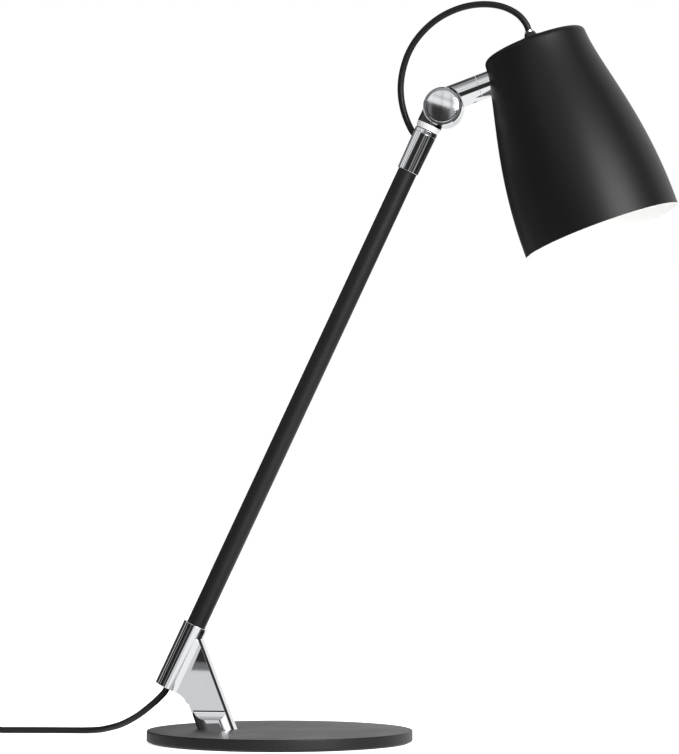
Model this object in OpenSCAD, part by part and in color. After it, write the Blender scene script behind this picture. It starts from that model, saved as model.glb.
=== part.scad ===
// Desk lamp: a leaning tube on a round base, held by a milled bracket, with a two-disc
// friction knuckle at its top and a bell shade that tilts and turns on it.
// Millimetres. The origin is the middle of the base's underside, +Z is up,
// +X is the way the arm leans and +Y points away from the viewer.

/* [Base] */
// Diameter of the round base plate
base_d = 220; // [205:1:240]
// Thickness of the steel base plate
base_t = 9; // [8:0.5:12]
// Thickness of the pad under the plate
pad_t = 1; // [0.8:0.1:2]
// How far the pad stays inside the plate's edge
pad_inset = 3; // [2:0.5:8]

/* [Bracket] */
// Where the foot's front end stands, along X
foot_front = -35.9; // [-38:0.1:-34]
// Length of the foot on the base
foot_len = 33.3; // [31:0.1:36]
// Width of the foot, rounded at both ends
foot_w = 21; // [20:0.1:24]
// Lean of the fin's edges towards the collar, in degrees
fin_lean = 21; // [19:0.1:23]
// Thickness of the fin between its two pockets
web_t = 12; // [9:0.1:13]
// Height of the foot below the flat of each pocket
foot_h = 15.9; // [15:0.1:18]
// Radius of the cove where a pocket runs out over the foot
foot_cove_r = 10.5; // [8:0.5:11]
// Radius of the cove beside the collar
collar_cove_r = 24; // [20:1:30]
// Radius of the hollow under the collar
throat_r = 16; // [13:0.5:17]
// Outside diameter of the collar
collar_d = 21.2; // [20.6:0.1:22]
// Length of the collar
collar_len = 57.4; // [54:0.1:62]

/* [Arm] */
// Lean of the arm from upright, in degrees
arm_lean = 25.35; // [24:0.05:27]
// Outside diameter of the arm tube
tube_d = 16; // [15.6:0.1:16.4]
// Wall of the arm tube
tube_wall = 1.2; // [1:0.1:1.4]
// Length of the arm tube
tube_len = 483; // [430:1:520]

/* [Sleeve] */
// Length of the polished sleeve
sleeve_len = 33.4; // [33:0.1:38]
// Diameter of the sleeve at its lower edge
sleeve_low_d = 18.3; // [18:0.1:18.8]
// Diameter of the sleeve at its top
sleeve_top_d = 19.6; // [19.2:0.1:20.6]
// How far the tube goes into the sleeve
sleeve_grip = 16.8; // [15:0.1:18]
// Height of the polished ring above the sleeve
ring_h = 3.4; // [3:0.1:5]
// Thickness of the black washer under the neck
washer_t = 0.6; // [0.5:0.1:1.5]

/* [Knuckle] */
// Length of the neck, from the washer to the pivot
neck_len = 22.8; // [22:0.1:26]
// Diameter of the neck and of the stem
neck_d = 21; // [19:0.1:21.4]
// How far the pivot lies beside the arm's axis
pivot_off = 5; // [4:0.1:5.4]
// Diameter of the two discs
disc_d = 32.2; // [32:0.1:35]
// Thickness of each disc
disc_t = 10.7; // [10.5:0.1:12]
// Gap between the two discs
disc_gap = 0.6; // [0.6:0.05:1]
// Diameter of the domed caps
cap_d = 27; // [24:0.1:28]
// Rise of the stem above level at rest, in degrees
head_rise = 19.7; // [16:0.1:23]
// How far the stem's axis lies above the pivot
stem_off = 5.45; // [4.6:0.05:5.5]
// Where the swivel seam crosses the stem, from the pivot
seam_at = 33.3; // [32:0.1:34]
// Gap at the swivel seam
seam_gap = 0.3; // [0.3:0.05:0.5]

/* [Shade] */
// Distance from the pivot to the shade's axis
shade_at = 87.5; // [87:0.5:92]
// Height of the shade's flat top above the pivot
shade_rise = 23.3; // [21:0.1:25]
// Length of the shade along its axis
shade_len = 165.9; // [150:0.1:180]
// Radius of the shade's mouth
mouth_r = 65.9; // [62:0.1:70]
// Radius of the shade's top, before its rounded corner
crown_r = 43.6; // [43:0.1:44.5]
// Radius of the rounded corner round the top
crown_corner_r = 4.5; // [3:0.1:6]
// Thickness of the shade's metal
shade_t = 1; // [0.8:0.1:1.5]
// Diameter of the low cap on the shade
top_cap_d = 33; // [28:0.5:36]

/* [Cord] */
// Diameter of the cord
cord_d = 5.4; // [5:0.1:5.6]
// Radius of the bend inside the sleeve
cord_bend_r = 20; // [20:0.5:20.5]
// Turn of the cord inside the sleeve, in degrees
cord_turn = 56; // [54:0.1:58]
// Side of the sleeve where the cord leaves, in degrees from the arm's lean
cord_side = 120; // [110:0.1:130]

/* [Hidden] */
$fn = 64;
// Radial room of a fixed or running fit.
fit = 0.05;
// Extra reach of a cutting tool past the face it cuts.
over = 1;

// Base.
plate_top = pad_t + base_t;
plate_edge_top = 0.6;
plate_edge_low = 2;
bolt_m5_r = 2.5;
bolt_m5_x = [-61, -46];
bolt_m5_top = 20;
bolt_m5_head_r = 4.8;
bolt_m5_head_h = 2.7;
bolt_m5_socket_r = 1.7;
bolt_m5_socket_depth = 1.4;

// Arm frame: its origin is the middle of the collar's lower end, its Z runs up the arm.
collar_foot = [-95.25, 0, 44.4];
arm_dir = [sin(arm_lean), 0, cos(arm_lean)];
arm_out = [cos(arm_lean), 0, -sin(arm_lean)];
function arm_point(x, y, s) = collar_foot + x * arm_out + s * arm_dir + [0, y, 0];
function flat(p) = [p[0], p[2]];

// Bracket.
foot_r = foot_w / 2;
foot_back = foot_front - foot_len;
web_half = web_t / 2;
pocket_low = plate_top + foot_h;
pocket_reach = 30;
cove_steps = 14;
cove_at = 13.6;
collar_edge = 0.4;
fin_inner_x = 5;
fin_top_s = collar_len - 3;
web_overlap = 5;
// Where the fin's back edge would meet the plane of the collar's lower end.
back_meets = (foot_back - collar_foot[0] - (collar_foot[2] - plate_top) * tan(fin_lean))
  / (cos(arm_lean) - sin(arm_lean) * tan(fin_lean));
throat_from = back_meets - throat_r / tan((90 + arm_lean + fin_lean) / 2);
throat_mid = flat(arm_point(throat_from, 0, -throat_r));
throat_end = throat_mid + throat_r * [cos(fin_lean), sin(fin_lean)];
bore_seat = 7;
bush_r = 6;
bush_lip = 1.5;
bush_nose_r = 4.4;
grub_r = 2.5;
grub_s = collar_len - 3.3;
grub_side = -36;
grub_socket_r = 1.45;
grub_socket_depth = 1.5;
grub_sink = 0.15;

// Arm tube and sleeve, by their places along the arm.
tube_r = tube_d / 2;
tube_bore_r = tube_r - tube_wall;
tube_top = bore_seat + tube_len;
sleeve_low = tube_top - sleeve_grip;
sleeve_top = sleeve_low + sleeve_len;
sleeve_roof = 3.6;
sleeve_edge = 0.5;
sleeve_rim = 0.2;
ring_r = sleeve_top_d / 2;
ring_groove_h = 0.4;
ring_groove = 0.5;
washer_low = sleeve_top + ring_h;
neck_low = washer_low + washer_t;
washer_r = ring_r - 0.5;
spigot_r = 6;
spigot_gap = 0.2;
pivot_s = neck_low + neck_len;
band_h = 4.8;
band_groove = 0.2;

// Knuckle. Its own frame has Z towards the viewer along the pivot.
pivot = arm_point(pivot_off, 0, pivot_s);
neck_r = neck_d / 2;
disc_r = disc_d / 2;
disc_face = disc_gap / 2;
disc_out = disc_face + disc_t;
disc_edge = 0.8;
disc_inner_edge = 0.2;
disc_clear = 0.9;
bolt_m8_r = 4;
bolt_head_r = 6.5;
bolt_head_h = 4.6;
bolt_head_well_r = 6.8;
bolt_head_well = 5;
bolt_socket_r = 2.9;
bolt_socket_depth = 2.5;
nut_m8_r = 7.5;
nut_m8_h = 4;
nut_well_r = 8.5;
nut_well = 5.6;
spring_washer_r = 7.4;
spring_washer_t = 1;
spring_washer_from = disc_out - nut_well + fit;
nut_from = spring_washer_from + spring_washer_t;
bolt_end = nut_from + nut_m8_h;
friction_washer_r = 14.5;
cap_rim = 1;
front_cap_rise = 1.6;
rear_cap_rise = 0.8;
cap_edge = 0.3;
dome_steps = 6;

// Head frame: its origin is the pivot, its X runs along the stem and its Z up the shade.
head_x = [cos(head_rise), 0, sin(head_rise)];
head_z = [-sin(head_rise), 0, cos(head_rise)];
function head_point(x, z) = pivot + x * head_x + z * head_z;
collar_from = seam_at + seam_gap;
spindle_r = 5;
spindle_from = 19.5;
spindle_bore_from = 19;
spindle_step = collar_from + 6.9;
spindle_groove_at = 26;
spindle_groove_depth = 0.8;
keeper_r = 2;
keeper_sink = 0.15;
keeper_socket_r = 1.1;
keeper_socket_depth = 1.5;
saddle_r = 8;
saddle_end = 47.6;
spindle_end = saddle_end + nut_m8_h + over;
stem_reach = 50;

// Shade. The bell's side is one curve from below the corner to near the mouth.
bell_steps = 16;
bell_from = [crown_r, crown_corner_r];
bell_pull = [crown_r + 1.9, crown_corner_r + 32];
bell_push = [mouth_r, 84];
bell_to = [mouth_r, shade_len - 6];
function bell_point(t) = pow(1 - t, 3) * bell_from + 3 * t * pow(1 - t, 2) * bell_pull
  + 3 * t * t * (1 - t) * bell_push + pow(t, 3) * bell_to;
corner_steps = 5;
// The side of the shade from its top to its mouth, as radius and height, drawn in by d.
function bell_side(d) = concat(
  [for (i = [0:corner_steps - 1])
    let (a = 90 - 90 * i / corner_steps, r = crown_corner_r - d)
    [crown_r - crown_corner_r + r * cos(a), r * sin(a) - crown_corner_r]],
  [for (i = [0:bell_steps]) let (p = bell_point(i / bell_steps)) [p[0] - d, -p[1]]],
  [[mouth_r - d, -shade_len]]);

// Pieces on and in the shade's top, by their heights over its flat top.
nipple_r = 5;
nipple_bore_r = 3.4;
nipple_low = -9;
nipple_high = 4.5;
top_cap_h = 3;
top_cap_step_r = 13;
top_cap_high = 5.5;
top_cap_edge = 0.5;
gland_low_r = 6;
gland_high_r = 4.4;
gland_high = 10;
gland_ring_r = 3.6;
gland_ring_high = 11.6;
holder_r = 18;
holder_neck_r = 12;
holder_slope = -11;
holder_low = -45;
holder_well_r = 10;
holder_well_low = -16;
holder_floor = -20;
holder_cavity_r = 14.3;
holder_ring_r = 21;
holder_ring_from = -36;
holder_ring_h = 6;
screw_shell_r = 14.25;
screw_shell_t = 0.9;
contact_r = 3;
contact_head_r = 5;
contact_end = -21;
bulb_cap_r = 13.3;
bulb_cap_from = -22;
bulb_tip_r = 5;
bulb_cap_to = -44;
bulb_body_r = 17;
bulb_body_to = -60;
globe_r = 22.5;
globe_at = -75.5;
globe_t = 1.2;

// Cords.
cord_r = cord_d / 2;
cord_room = cord_r + fit;
cord_sides = 10;
lead = cord_d;
grommet_r = 4.4;
grommet_bore_r = 3.3;
grommet_in = 4.5;
grommet_out = 0.8;
bend_s = sleeve_low + 9.1;
bend_steps = 6;
exit_stub = 1.5;
exit_reach = cord_bend_r * (1 - cos(cord_turn)) + exit_stub * sin(cord_turn);
exit_s = bend_s + cord_bend_r * sin(cord_turn) + exit_stub * cos(cord_turn);
exit_x = exit_reach * cos(cord_side);
exit_y = exit_reach * sin(cord_side);
exit_at = arm_point(exit_x, exit_y, exit_s);
exit_dir = sin(cord_turn) * cos(cord_side) * arm_out + [0, sin(cord_turn) * sin(cord_side), 0]
  + cos(cord_turn) * arm_dir;
inner_route = concat([for (s = [0, bend_s]) arm_point(0, 0, s)],
  [for (i = [1:bend_steps]) let (a = cord_turn * i / bend_steps, r = cord_bend_r * (1 - cos(a)))
    arm_point(r * cos(cord_side), r * sin(cord_side), bend_s + cord_bend_r * sin(a))], [exit_at]);
gland_at = head_point(shade_at, shade_rise + gland_ring_high);
// The free loop at the head, measured from the pivot.
loop_route = [[63, 0, 75], [54, 0, 81], [43, 0.5, 84.7], [30.5, 1.2, 85.8], [18, 2, 84.5],
  [5.5, 3.3, 80.7], [-6, 5, 75], [-16.5, 6.8, 67], [-25, 8.5, 57.7], [-31.5, 10.2, 47],
  [-35.8, 12, 35], [-38, 13.8, 23], [-37.9, 15.4, 11], [-35.8, 16.7, -0.3], [-32.3, 17, -10],
  [-28.5, 15.6, -17.3]];
loop_nominal_ends = [[70.6, 0, 62.4], [-23.5, 8.2, -26.4]];
// The mains cord from the collar, down to the table and along it to the switch.
floor_z = cord_r;
descent_route = [[-103.5, 1, 34], [-111, 5, 28], [-121, 13, 21], [-132, 23.5, 15],
  [-143.5, 35.5, 10], [-155, 47, 6.6], [-166, 56.5, 4.1], [-176, 62, 3.1]];
descent_nominal_ends = [[-95.25, 0, 44.4], [-186, 63.7, 2.7]];
descent_end = [-186, 63.7, floor_z];
table_route = [[-203, 62.7, floor_z], [-220, 61.2, floor_z], [-237, 59, floor_z],
  [-252, 56.8, floor_z], [-261, 55.2, floor_z + 1.6]];
switch_at = [-319, 54.5, 0];
switch_half = 27;
switch_axis_z = 6.5;
relief_len = 20;
relief_big_r = 4.6;
relief_small_r = 3.4;
relief_grooves = 4;
relief_groove = 0.5;

// Coil: in along the table, up a layer where it turns back, and out on top.
coil_at = [-356, -12];
coil_sides = 6;
coil_rings = 24;
coil_start_r = 39.5;
coil_pitch = 6.2;
coil_layer = 5.9;
coil_in_turns = 3;
coil_out_turns = 3.5;
tie_t = 0.6;
coil_low_z = tie_t + cord_r;
coil_mid_r = coil_start_r - coil_pitch * coil_in_turns;
coil_end_r = coil_mid_r + coil_pitch * coil_out_turns;
coil_turns = coil_in_turns + 0.5 + coil_out_turns;
function coil_r(t) = t < coil_in_turns ? coil_start_r - coil_pitch * t
  : t < coil_in_turns + 0.5
    ? let (u = t - coil_in_turns) coil_mid_r - coil_pitch * u + 2 * coil_pitch * u * u
    : coil_mid_r + coil_pitch * (t - coil_in_turns - 0.5);
function coil_z(t) = let (u = min(1, max(0, 2 * (t - coil_in_turns))))
  coil_low_z + coil_layer * u * u * (3 - 2 * u);
function coil_point(t) = [coil_at[0] - coil_r(t) * cos(360 * t),
  coil_at[1] - coil_r(t) * sin(360 * t), coil_z(t)];
coil_loops = [for (i = [0:coil_turns * coil_rings]) coil_point(i / coil_rings)];
coil_in_at = coil_loops[0] + [0, lead, 0];
coil_out_at = coil_loops[len(coil_loops) - 1] - [0, lead, 0];
coil_route = concat([coil_in_at], coil_loops, [coil_out_at]);
coil_apart = min([for (i = [0:len(coil_route) - 1], j = [i + coil_rings / 2:1:len(coil_route) - 1])
  norm(coil_route[i] - coil_route[j])]);
echo(coil_least_gap = coil_apart - cord_d);
tie_w = 6;
tie_room = 0.1;
tie_side_room = 0.3;
tie_from = coil_mid_r - cord_r - tie_side_room;
tie_to = coil_end_r - coil_pitch / 2 + cord_r + tie_side_room;
tie_top = coil_low_z + coil_layer + cord_r + tie_room;
tie_knot_r = 1.6;
tie_knot_len = 9;

// The cord between the switch and the coil, and the one from the coil to the plug.
switch_back = switch_at[0] - switch_half - relief_len;
link_bend_r = 24;
link_in = [switch_back, switch_at[1], switch_axis_z];
link_bend_x = coil_in_at[0] + link_bend_r;
link_bend_y = switch_at[1] - link_bend_r;
link_route = concat([link_in], [for (i = [0:4])
  [link_bend_x - link_bend_r * sin(22.5 * i), link_bend_y + link_bend_r * cos(22.5 * i),
    switch_axis_z + (coil_low_z - switch_axis_z) * i / 4]],
  [[coil_in_at[0], 18, coil_low_z], [coil_in_at[0], 6, coil_low_z], coil_in_at]);
plug_at = [-316, -88, 0];
plug_axis_z = 7;
plug_relief_len = 22;
plug_in = [plug_at[0] - plug_relief_len, plug_at[1], plug_axis_z];
tail_route = concat([coil_out_at, coil_out_at - [0, lead, 0]],
  [[-398.5, -30, 7.9], [-397.5, -40, 5.2], [-395, -52, 3.2], [-389.5, -64, floor_z],
    [-380.5, -74.5, floor_z], [-369, -82, 3.2], [-356, -86.8, 5]],
  [plug_in - [lead, 0, 0], plug_in]);

// Switch on the cord.
switch_w = 26;
switch_h = 14;
switch_split = 6.5;
switch_wall = 1.6;
switch_corner = 7;
switch_edge = 1.2;
rocker_half = 8.5;
rocker_w = 10;
rocker_room = 0.9;
rocker_axis_z = 10.5;
rocker_rest = 8;
rocker_pin_r = 1.5;
rocker_pin_reach = 6.9;
rocker_pin_room = 0.3;
rocker_lug = [5, 2.6, 5.2];
rocker_low = 1;
rocker_ear_h = 4;
rocker_dip_h = 2.9;
rocker_keel = 3.5;
rocker_lug_y = 5.4;
switch_screw_x = 20;
switch_screw_r = 1.4;
switch_screw_head_r = 2.6;
switch_screw_head_h = 1.4;
switch_screw_len = 9;
switch_screw_sink = 0.2;
switch_post_r = 3.2;

// Plug with two round pins.
plug_len = 36;
plug_w = 35;
plug_t = 14;
plug_neck_w = 14;
plug_shoulder = 20;
plug_big_r = 5.5;
pin_r = 2;
pin_len = 19;
pin_apart = 19;

// Direction of v with length one.
function unit(v) = v / norm(v);
// Direction of a route at its point i.
function heading(route, i) = unit(route[min(i + 1, len(route) - 1)] - route[max(i - 1, 0)]);
// A hand-laid route shifted evenly along its length, so that its ends follow a and b.
function follow(route, ends, a, b) = let (n = len(route) + 1)
  [for (i = [0:len(route) - 1]) let (t = (i + 1) / n)
    route[i] + (1 - t) * (a - ends[0]) + t * (b - ends[1])];
// Ring of points round p, square to t. With up as [0, 0, 1] its first point is its lowest.
function ring_points(p, t, sides, up) = let (a = unit(cross(t, up)), b = cross(a, t))
  [for (k = [0:sides - 1]) let (w = 360 * k / sides - 90) p + cord_r * (cos(w) * a + sin(w) * b)];

loop_path = concat([gland_at, gland_at + lead * head_z],
  follow([for (p = loop_route) pivot + p],
    [pivot + loop_nominal_ends[0], pivot + loop_nominal_ends[1]], gland_at, exit_at),
  [exit_at + lead * exit_dir, exit_at]);
mains_start = arm_point(0, 0, 0);
bush_lead = 4;
mains_path = concat([mains_start, mains_start - bush_lead * arm_dir],
  follow(descent_route, descent_nominal_ends, mains_start, descent_end), [descent_end],
  table_route,
  [[switch_at[0] + switch_half + relief_len + lead, switch_at[1], switch_axis_z],
    [switch_at[0] + switch_half + relief_len, switch_at[1], switch_axis_z]]);

// Round cord along a route, as one closed skin.
module cord_tube(route, sides, up) {
  last = (len(route) - 1) * sides;
  polyhedron(
    points = [for (i = [0:len(route) - 1]) each ring_points(route[i], heading(route, i), sides, up)],
    faces = concat(
      [[for (k = [sides - 1:-1:0]) k]],
      [for (i = [0:len(route) - 2], k = [0:sides - 1]) each
        let (a = i * sides + k, b = i * sides + (k + 1) % sides)
        [[a, b, b + sides], [a, b + sides, a + sides]]],
      [[for (k = [0:sides - 1]) last + k]]),
    convexity = 8);
}

module on_arm() {
  translate(collar_foot) rotate([0, arm_lean, 0]) children();
}

// Z runs along the pivot, towards the viewer.
module on_pivot() {
  translate(pivot) rotate([90, 0, 0]) children();
}

module on_head() {
  translate(pivot) rotate([0, -head_rise, 0]) children();
}

// Z runs along the stem.
module on_stem() {
  on_head() translate([0, 0, stem_off]) rotate([0, 90, 0]) children();
}

// The origin is the middle of the shade's flat top.
module on_shade() {
  on_head() translate([shade_at, 0, shade_rise]) children();
}

module on_exit() {
  on_arm() translate([exit_x, exit_y, exit_s]) rotate([0, cord_turn, cord_side]) children();
}

module on_grub() {
  on_arm() translate([0, 0, grub_s]) rotate([0, 90, grub_side]) children();
}

module hex(r, h) {
  cylinder(r = r, h = h, $fn = 6);
}

// Disc of the knuckle from its meeting face outwards, with a broken outer edge.
module knuckle_disc() {
  rotate_extrude($fn = 128)
    polygon([[0, disc_face], [disc_r - disc_inner_edge, disc_face],
      [disc_r, disc_face + disc_inner_edge], [disc_r, disc_out - disc_edge],
      [disc_r - disc_edge, disc_out], [0, disc_out]]);
}

// Low domed cap standing on z = 0.
module domed_cap(rise) {
  edge_r = cap_d / 2 - cap_edge;
  rotate_extrude($fn = 96)
    polygon(concat([[0, 0], [cap_d / 2, 0], [cap_d / 2, cap_rim - cap_edge]],
      [for (i = [dome_steps:-1:0]) let (t = i / dome_steps)
        [edge_r * t, cap_rim + rise * (1 - t * t)]]));
}

module base_plate() {
  color([0.05, 0.05, 0.05]) difference() {
    rotate_extrude($fn = 256)
      polygon(concat([[0, pad_t]],
        [for (a = [-90:22.5:0]) [base_d / 2 - plate_edge_low + plate_edge_low * cos(a),
          pad_t + plate_edge_low + plate_edge_low * sin(a)]],
        [[base_d / 2, plate_top - plate_edge_top], [base_d / 2 - plate_edge_top, plate_top],
          [0, plate_top]]));
    for (x = bolt_m5_x) translate([x, 0, pad_t]) {
      translate([0, 0, -over]) cylinder(r = bolt_m5_r + fit, h = base_t + 2 * over);
      translate([0, 0, -over]) cylinder(r = bolt_m5_head_r + fit, h = over + fit);
      translate([0, 0, fit])
        cylinder(r1 = bolt_m5_head_r + fit, r2 = bolt_m5_r + fit, h = bolt_m5_head_h);
    }
  }
}

module base_pad() {
  color([0.12, 0.12, 0.12]) cylinder(r = base_d / 2 - pad_inset, h = pad_t, $fn = 256);
}

// The two countersunk screws that hold the bracket from under the plate.
module bracket_screws() {
  color([0.6, 0.6, 0.62]) for (x = bolt_m5_x) translate([x, 0, pad_t]) difference() {
    union() {
      cylinder(r1 = bolt_m5_head_r, r2 = bolt_m5_r, h = bolt_m5_head_h);
      cylinder(r = bolt_m5_r, h = bolt_m5_top - pad_t);
    }
    translate([0, 0, -over]) hex(bolt_m5_socket_r, over + bolt_m5_socket_depth);
  }
}

// Side outline of the fin, from the base to the collar.
module fin_outline() {
  z_high = flat(arm_point(fin_inner_x, 0, fin_top_s))[1];
  polygon([[foot_front, plate_top], [foot_front - (z_high - plate_top) * tan(fin_lean), z_high],
    flat(arm_point(fin_inner_x, 0, fin_top_s)), flat(arm_point(fin_inner_x, 0, 0)),
    flat(arm_point(back_meets, 0, 0)), [foot_back, plate_top]]);
}

// What the throat under the collar leaves of the web.
module throat_web() {
  translate([0, foot_r, 0]) rotate([90, 0, 0]) difference() {
    linear_extrude(height = foot_w)
      polygon([flat(arm_point(fin_inner_x, 0, 0)), flat(arm_point(throat_from, 0, 0)), throat_mid,
        throat_end, throat_end + [web_overlap, 0], flat(arm_point(back_meets, 0, web_overlap)),
        flat(arm_point(fin_inner_x, 0, 2 * web_overlap))]);
    translate([throat_mid[0], throat_mid[1], -over]) cylinder(r = throat_r, h = foot_w + 2 * over);
  }
}

// Leaning column with rounded ends, bounded by the side outline.
module fin_column() {
  square_w = foot_len * cos(fin_lean) - foot_w;
  column_h = collar_len + 2 * pocket_reach;
  intersection() {
    translate([foot_front, 0, plate_top]) rotate([0, -fin_lean, 0])
      translate([-foot_r, 0, -pocket_reach]) {
        cylinder(r = foot_r, h = column_h, $fn = 96);
        translate([-square_w, 0, 0]) cylinder(r = foot_r, h = column_h, $fn = 96);
        translate([-square_w, -foot_r, 0]) cube([square_w, foot_w, column_h]);
      }
    translate([0, foot_w, 0]) rotate([90, 0, 0]) linear_extrude(height = 2 * foot_w) fin_outline();
  }
}

// Section of a pocket: flat against the web beyond a level, and a cove of radius r before it.
function pocket_side(r, level) = concat(
  [for (i = [0:cove_steps]) let (a = 90 * i / cove_steps)
    [web_half + r * (1 - cos(a)), level - r * sin(a)]],
  [[web_half + 2 * pocket_reach, level - r], [web_half + 2 * pocket_reach, 4 * pocket_reach],
    [web_half, 4 * pocket_reach]]);

// What the mill takes from the far side of the fin.
module pocket_tool() {
  intersection() {
    translate([foot_back - 2 * pocket_reach, 0, 0]) rotate([90, 0, 90])
      linear_extrude(height = foot_len + 4 * pocket_reach)
        polygon(pocket_side(foot_cove_r, pocket_low));
    on_arm() translate([0, 0, -2 * pocket_reach])
      linear_extrude(height = collar_len + 4 * pocket_reach)
        polygon([for (p = pocket_side(collar_cove_r, cove_at)) [p[1], p[0]]]);
  }
}

module foot_bracket() {
  color([0.78, 0.78, 0.8]) difference() {
    union() {
      difference() {
        union() {
          fin_column();
          throat_web();
        }
        pocket_tool();
        mirror([0, 1, 0]) pocket_tool();
      }
      on_arm() rotate_extrude($fn = 96)
        polygon([[0, 0], [collar_d / 2 - collar_edge, 0], [collar_d / 2, collar_edge],
          [collar_d / 2, collar_len - collar_edge], [collar_d / 2 - collar_edge, collar_len],
          [0, collar_len]]);
    }
    on_arm() {
      translate([0, 0, bore_seat]) cylinder(r = tube_r + fit, h = collar_len);
      translate([0, 0, bush_lip]) cylinder(r = bush_r + fit, h = bore_seat);
      translate([0, 0, -over]) cylinder(r = bush_nose_r + fit, h = bush_lip + 2 * over);
    }
    on_grub() cylinder(r = grub_r + fit, h = collar_d);
    for (x = bolt_m5_x) translate([x, 0, plate_top - over])
      cylinder(r = bolt_m5_r + fit, h = bolt_m5_top - plate_top + 2 * over);
  }
}

module collar_grub_screw() {
  color([0.1, 0.1, 0.1]) on_grub() difference() {
    translate([0, 0, tube_r]) cylinder(r = grub_r, h = collar_d / 2 - grub_sink - tube_r);
    translate([0, 0, collar_d / 2 - grub_sink - grub_socket_depth])
      hex(grub_socket_r, grub_socket_depth + over);
  }
}

// Rubber bush that lines the collar's lower opening.
module cord_bush() {
  color([0.06, 0.06, 0.06]) on_arm() difference() {
    union() {
      cylinder(r = bush_nose_r, h = bush_lip + fit);
      translate([0, 0, bush_lip]) cylinder(r = bush_r, h = bore_seat - bush_lip);
    }
    translate([0, 0, -over]) cylinder(r = cord_room, h = bore_seat + 2 * over);
  }
}

module arm_tube() {
  color([0.07, 0.07, 0.07]) on_arm() translate([0, 0, bore_seat]) difference() {
    cylinder(r = tube_r, h = tube_len, $fn = 96);
    translate([0, 0, -over]) cylinder(r = tube_bore_r, h = tube_len + 2 * over);
  }
}

module arm_sleeve() {
  color([0.8, 0.8, 0.82]) difference() {
    on_arm() rotate_extrude($fn = 96)
      polygon([[0, sleeve_low], [sleeve_low_d / 2 - sleeve_edge, sleeve_low],
        [sleeve_low_d / 2, sleeve_low + sleeve_edge], [sleeve_top_d / 2, sleeve_top - sleeve_rim],
        [sleeve_top_d / 2 - sleeve_rim, sleeve_top], [0, sleeve_top]]);
    on_arm() {
      translate([0, 0, sleeve_low - over]) cylinder(r = tube_r + fit, h = sleeve_grip + over);
      translate([0, 0, sleeve_low]) cylinder(r = tube_bore_r, h = sleeve_len - sleeve_roof);
      translate([0, 0, sleeve_low]) cylinder(r = spigot_r + fit, h = sleeve_len + over);
    }
    on_exit() translate([0, 0, -grommet_in - 2 * over])
      cylinder(r = grommet_r + fit, h = grommet_in + 2 * over + grommet_r + 2 * over);
  }
}

module sleeve_grommet() {
  color([0.06, 0.06, 0.06]) on_exit() translate([0, 0, -grommet_in]) difference() {
    cylinder(r = grommet_r, h = grommet_in + grommet_out);
    translate([0, 0, -over]) cylinder(r = grommet_bore_r, h = grommet_in + grommet_out + 2 * over);
  }
}

module sleeve_ring() {
  color([0.82, 0.82, 0.84]) on_arm() translate([0, 0, sleeve_top]) rotate_extrude($fn = 96)
    polygon([[spigot_r + fit, 0], [ring_r - ring_groove, 0], [ring_r - ring_groove, ring_groove_h],
      [ring_r, ring_groove_h + sleeve_rim], [ring_r, ring_h - sleeve_rim],
      [ring_r - sleeve_rim, ring_h], [spigot_r + fit, ring_h]]);
}

module neck_washer() {
  color([0.05, 0.05, 0.05]) on_arm() translate([0, 0, washer_low]) difference() {
    cylinder(r = washer_r, h = washer_t);
    translate([0, 0, -over]) cylinder(r = spigot_r + fit, h = washer_t + 2 * over);
  }
}

// Lower half of the knuckle: spigot, neck and the front disc, which stands still.
module knuckle_lower() {
  color([0.8, 0.8, 0.82]) difference() {
    union() {
      difference() {
        on_arm() translate([0, 0, neck_low]) rotate_extrude($fn = 96)
          polygon([[0, 0], [neck_r - band_groove, 0], [neck_r - band_groove, band_h],
            [neck_r, band_h + band_groove], [neck_r, neck_len], [0, neck_len]]);
        on_pivot() translate([0, 0, -2 * neck_r + disc_face])
          cylinder(r = disc_r + disc_clear, h = 2 * neck_r, $fn = 128);
      }
      on_pivot() knuckle_disc();
      on_arm() translate([0, 0, sleeve_top - sleeve_roof + spigot_gap])
        cylinder(r = spigot_r, h = neck_low - sleeve_top + sleeve_roof);
    }
    on_pivot() cylinder(r = bolt_m8_r + fit, h = disc_out + over);
    on_pivot() translate([0, 0, disc_out - bolt_head_well])
      cylinder(r = bolt_head_well_r, h = bolt_head_well + over);
  }
}

module pivot_bolt() {
  color([0.55, 0.55, 0.57]) on_pivot() difference() {
    union() {
      translate([0, 0, -bolt_end]) cylinder(r = bolt_m8_r, h = bolt_end + disc_out - bolt_head_well);
      translate([0, 0, disc_out - bolt_head_well]) cylinder(r = bolt_head_r, h = bolt_head_h);
    }
    translate([0, 0, disc_out - bolt_head_well + bolt_head_h - bolt_socket_depth])
      hex(bolt_socket_r, bolt_socket_depth + over);
  }
}

// Thin washer that rubs between the two discs.
module friction_washer() {
  color([0.35, 0.3, 0.2]) on_pivot() translate([0, 0, fit - disc_face]) difference() {
    cylinder(r = friction_washer_r, h = disc_gap - fit, $fn = 96);
    translate([0, 0, -over]) cylinder(r = bolt_m8_r + fit, h = disc_gap + 2 * over);
  }
}

module spring_washer() {
  color([0.5, 0.5, 0.52]) on_pivot() translate([0, 0, -nut_from]) difference() {
    cylinder(r = spring_washer_r, h = spring_washer_t);
    translate([0, 0, -over]) cylinder(r = bolt_m8_r + fit, h = spring_washer_t + 2 * over);
  }
}

module pivot_nut() {
  color([0.6, 0.6, 0.62]) on_pivot() translate([0, 0, -bolt_end]) difference() {
    hex(nut_m8_r, nut_m8_h);
    translate([0, 0, -over]) cylinder(r = bolt_m8_r + fit, h = nut_m8_h + 2 * over);
  }
}

module front_cap() {
  color([0.82, 0.82, 0.84]) on_pivot() translate([0, 0, disc_out]) domed_cap(front_cap_rise);
}

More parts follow.
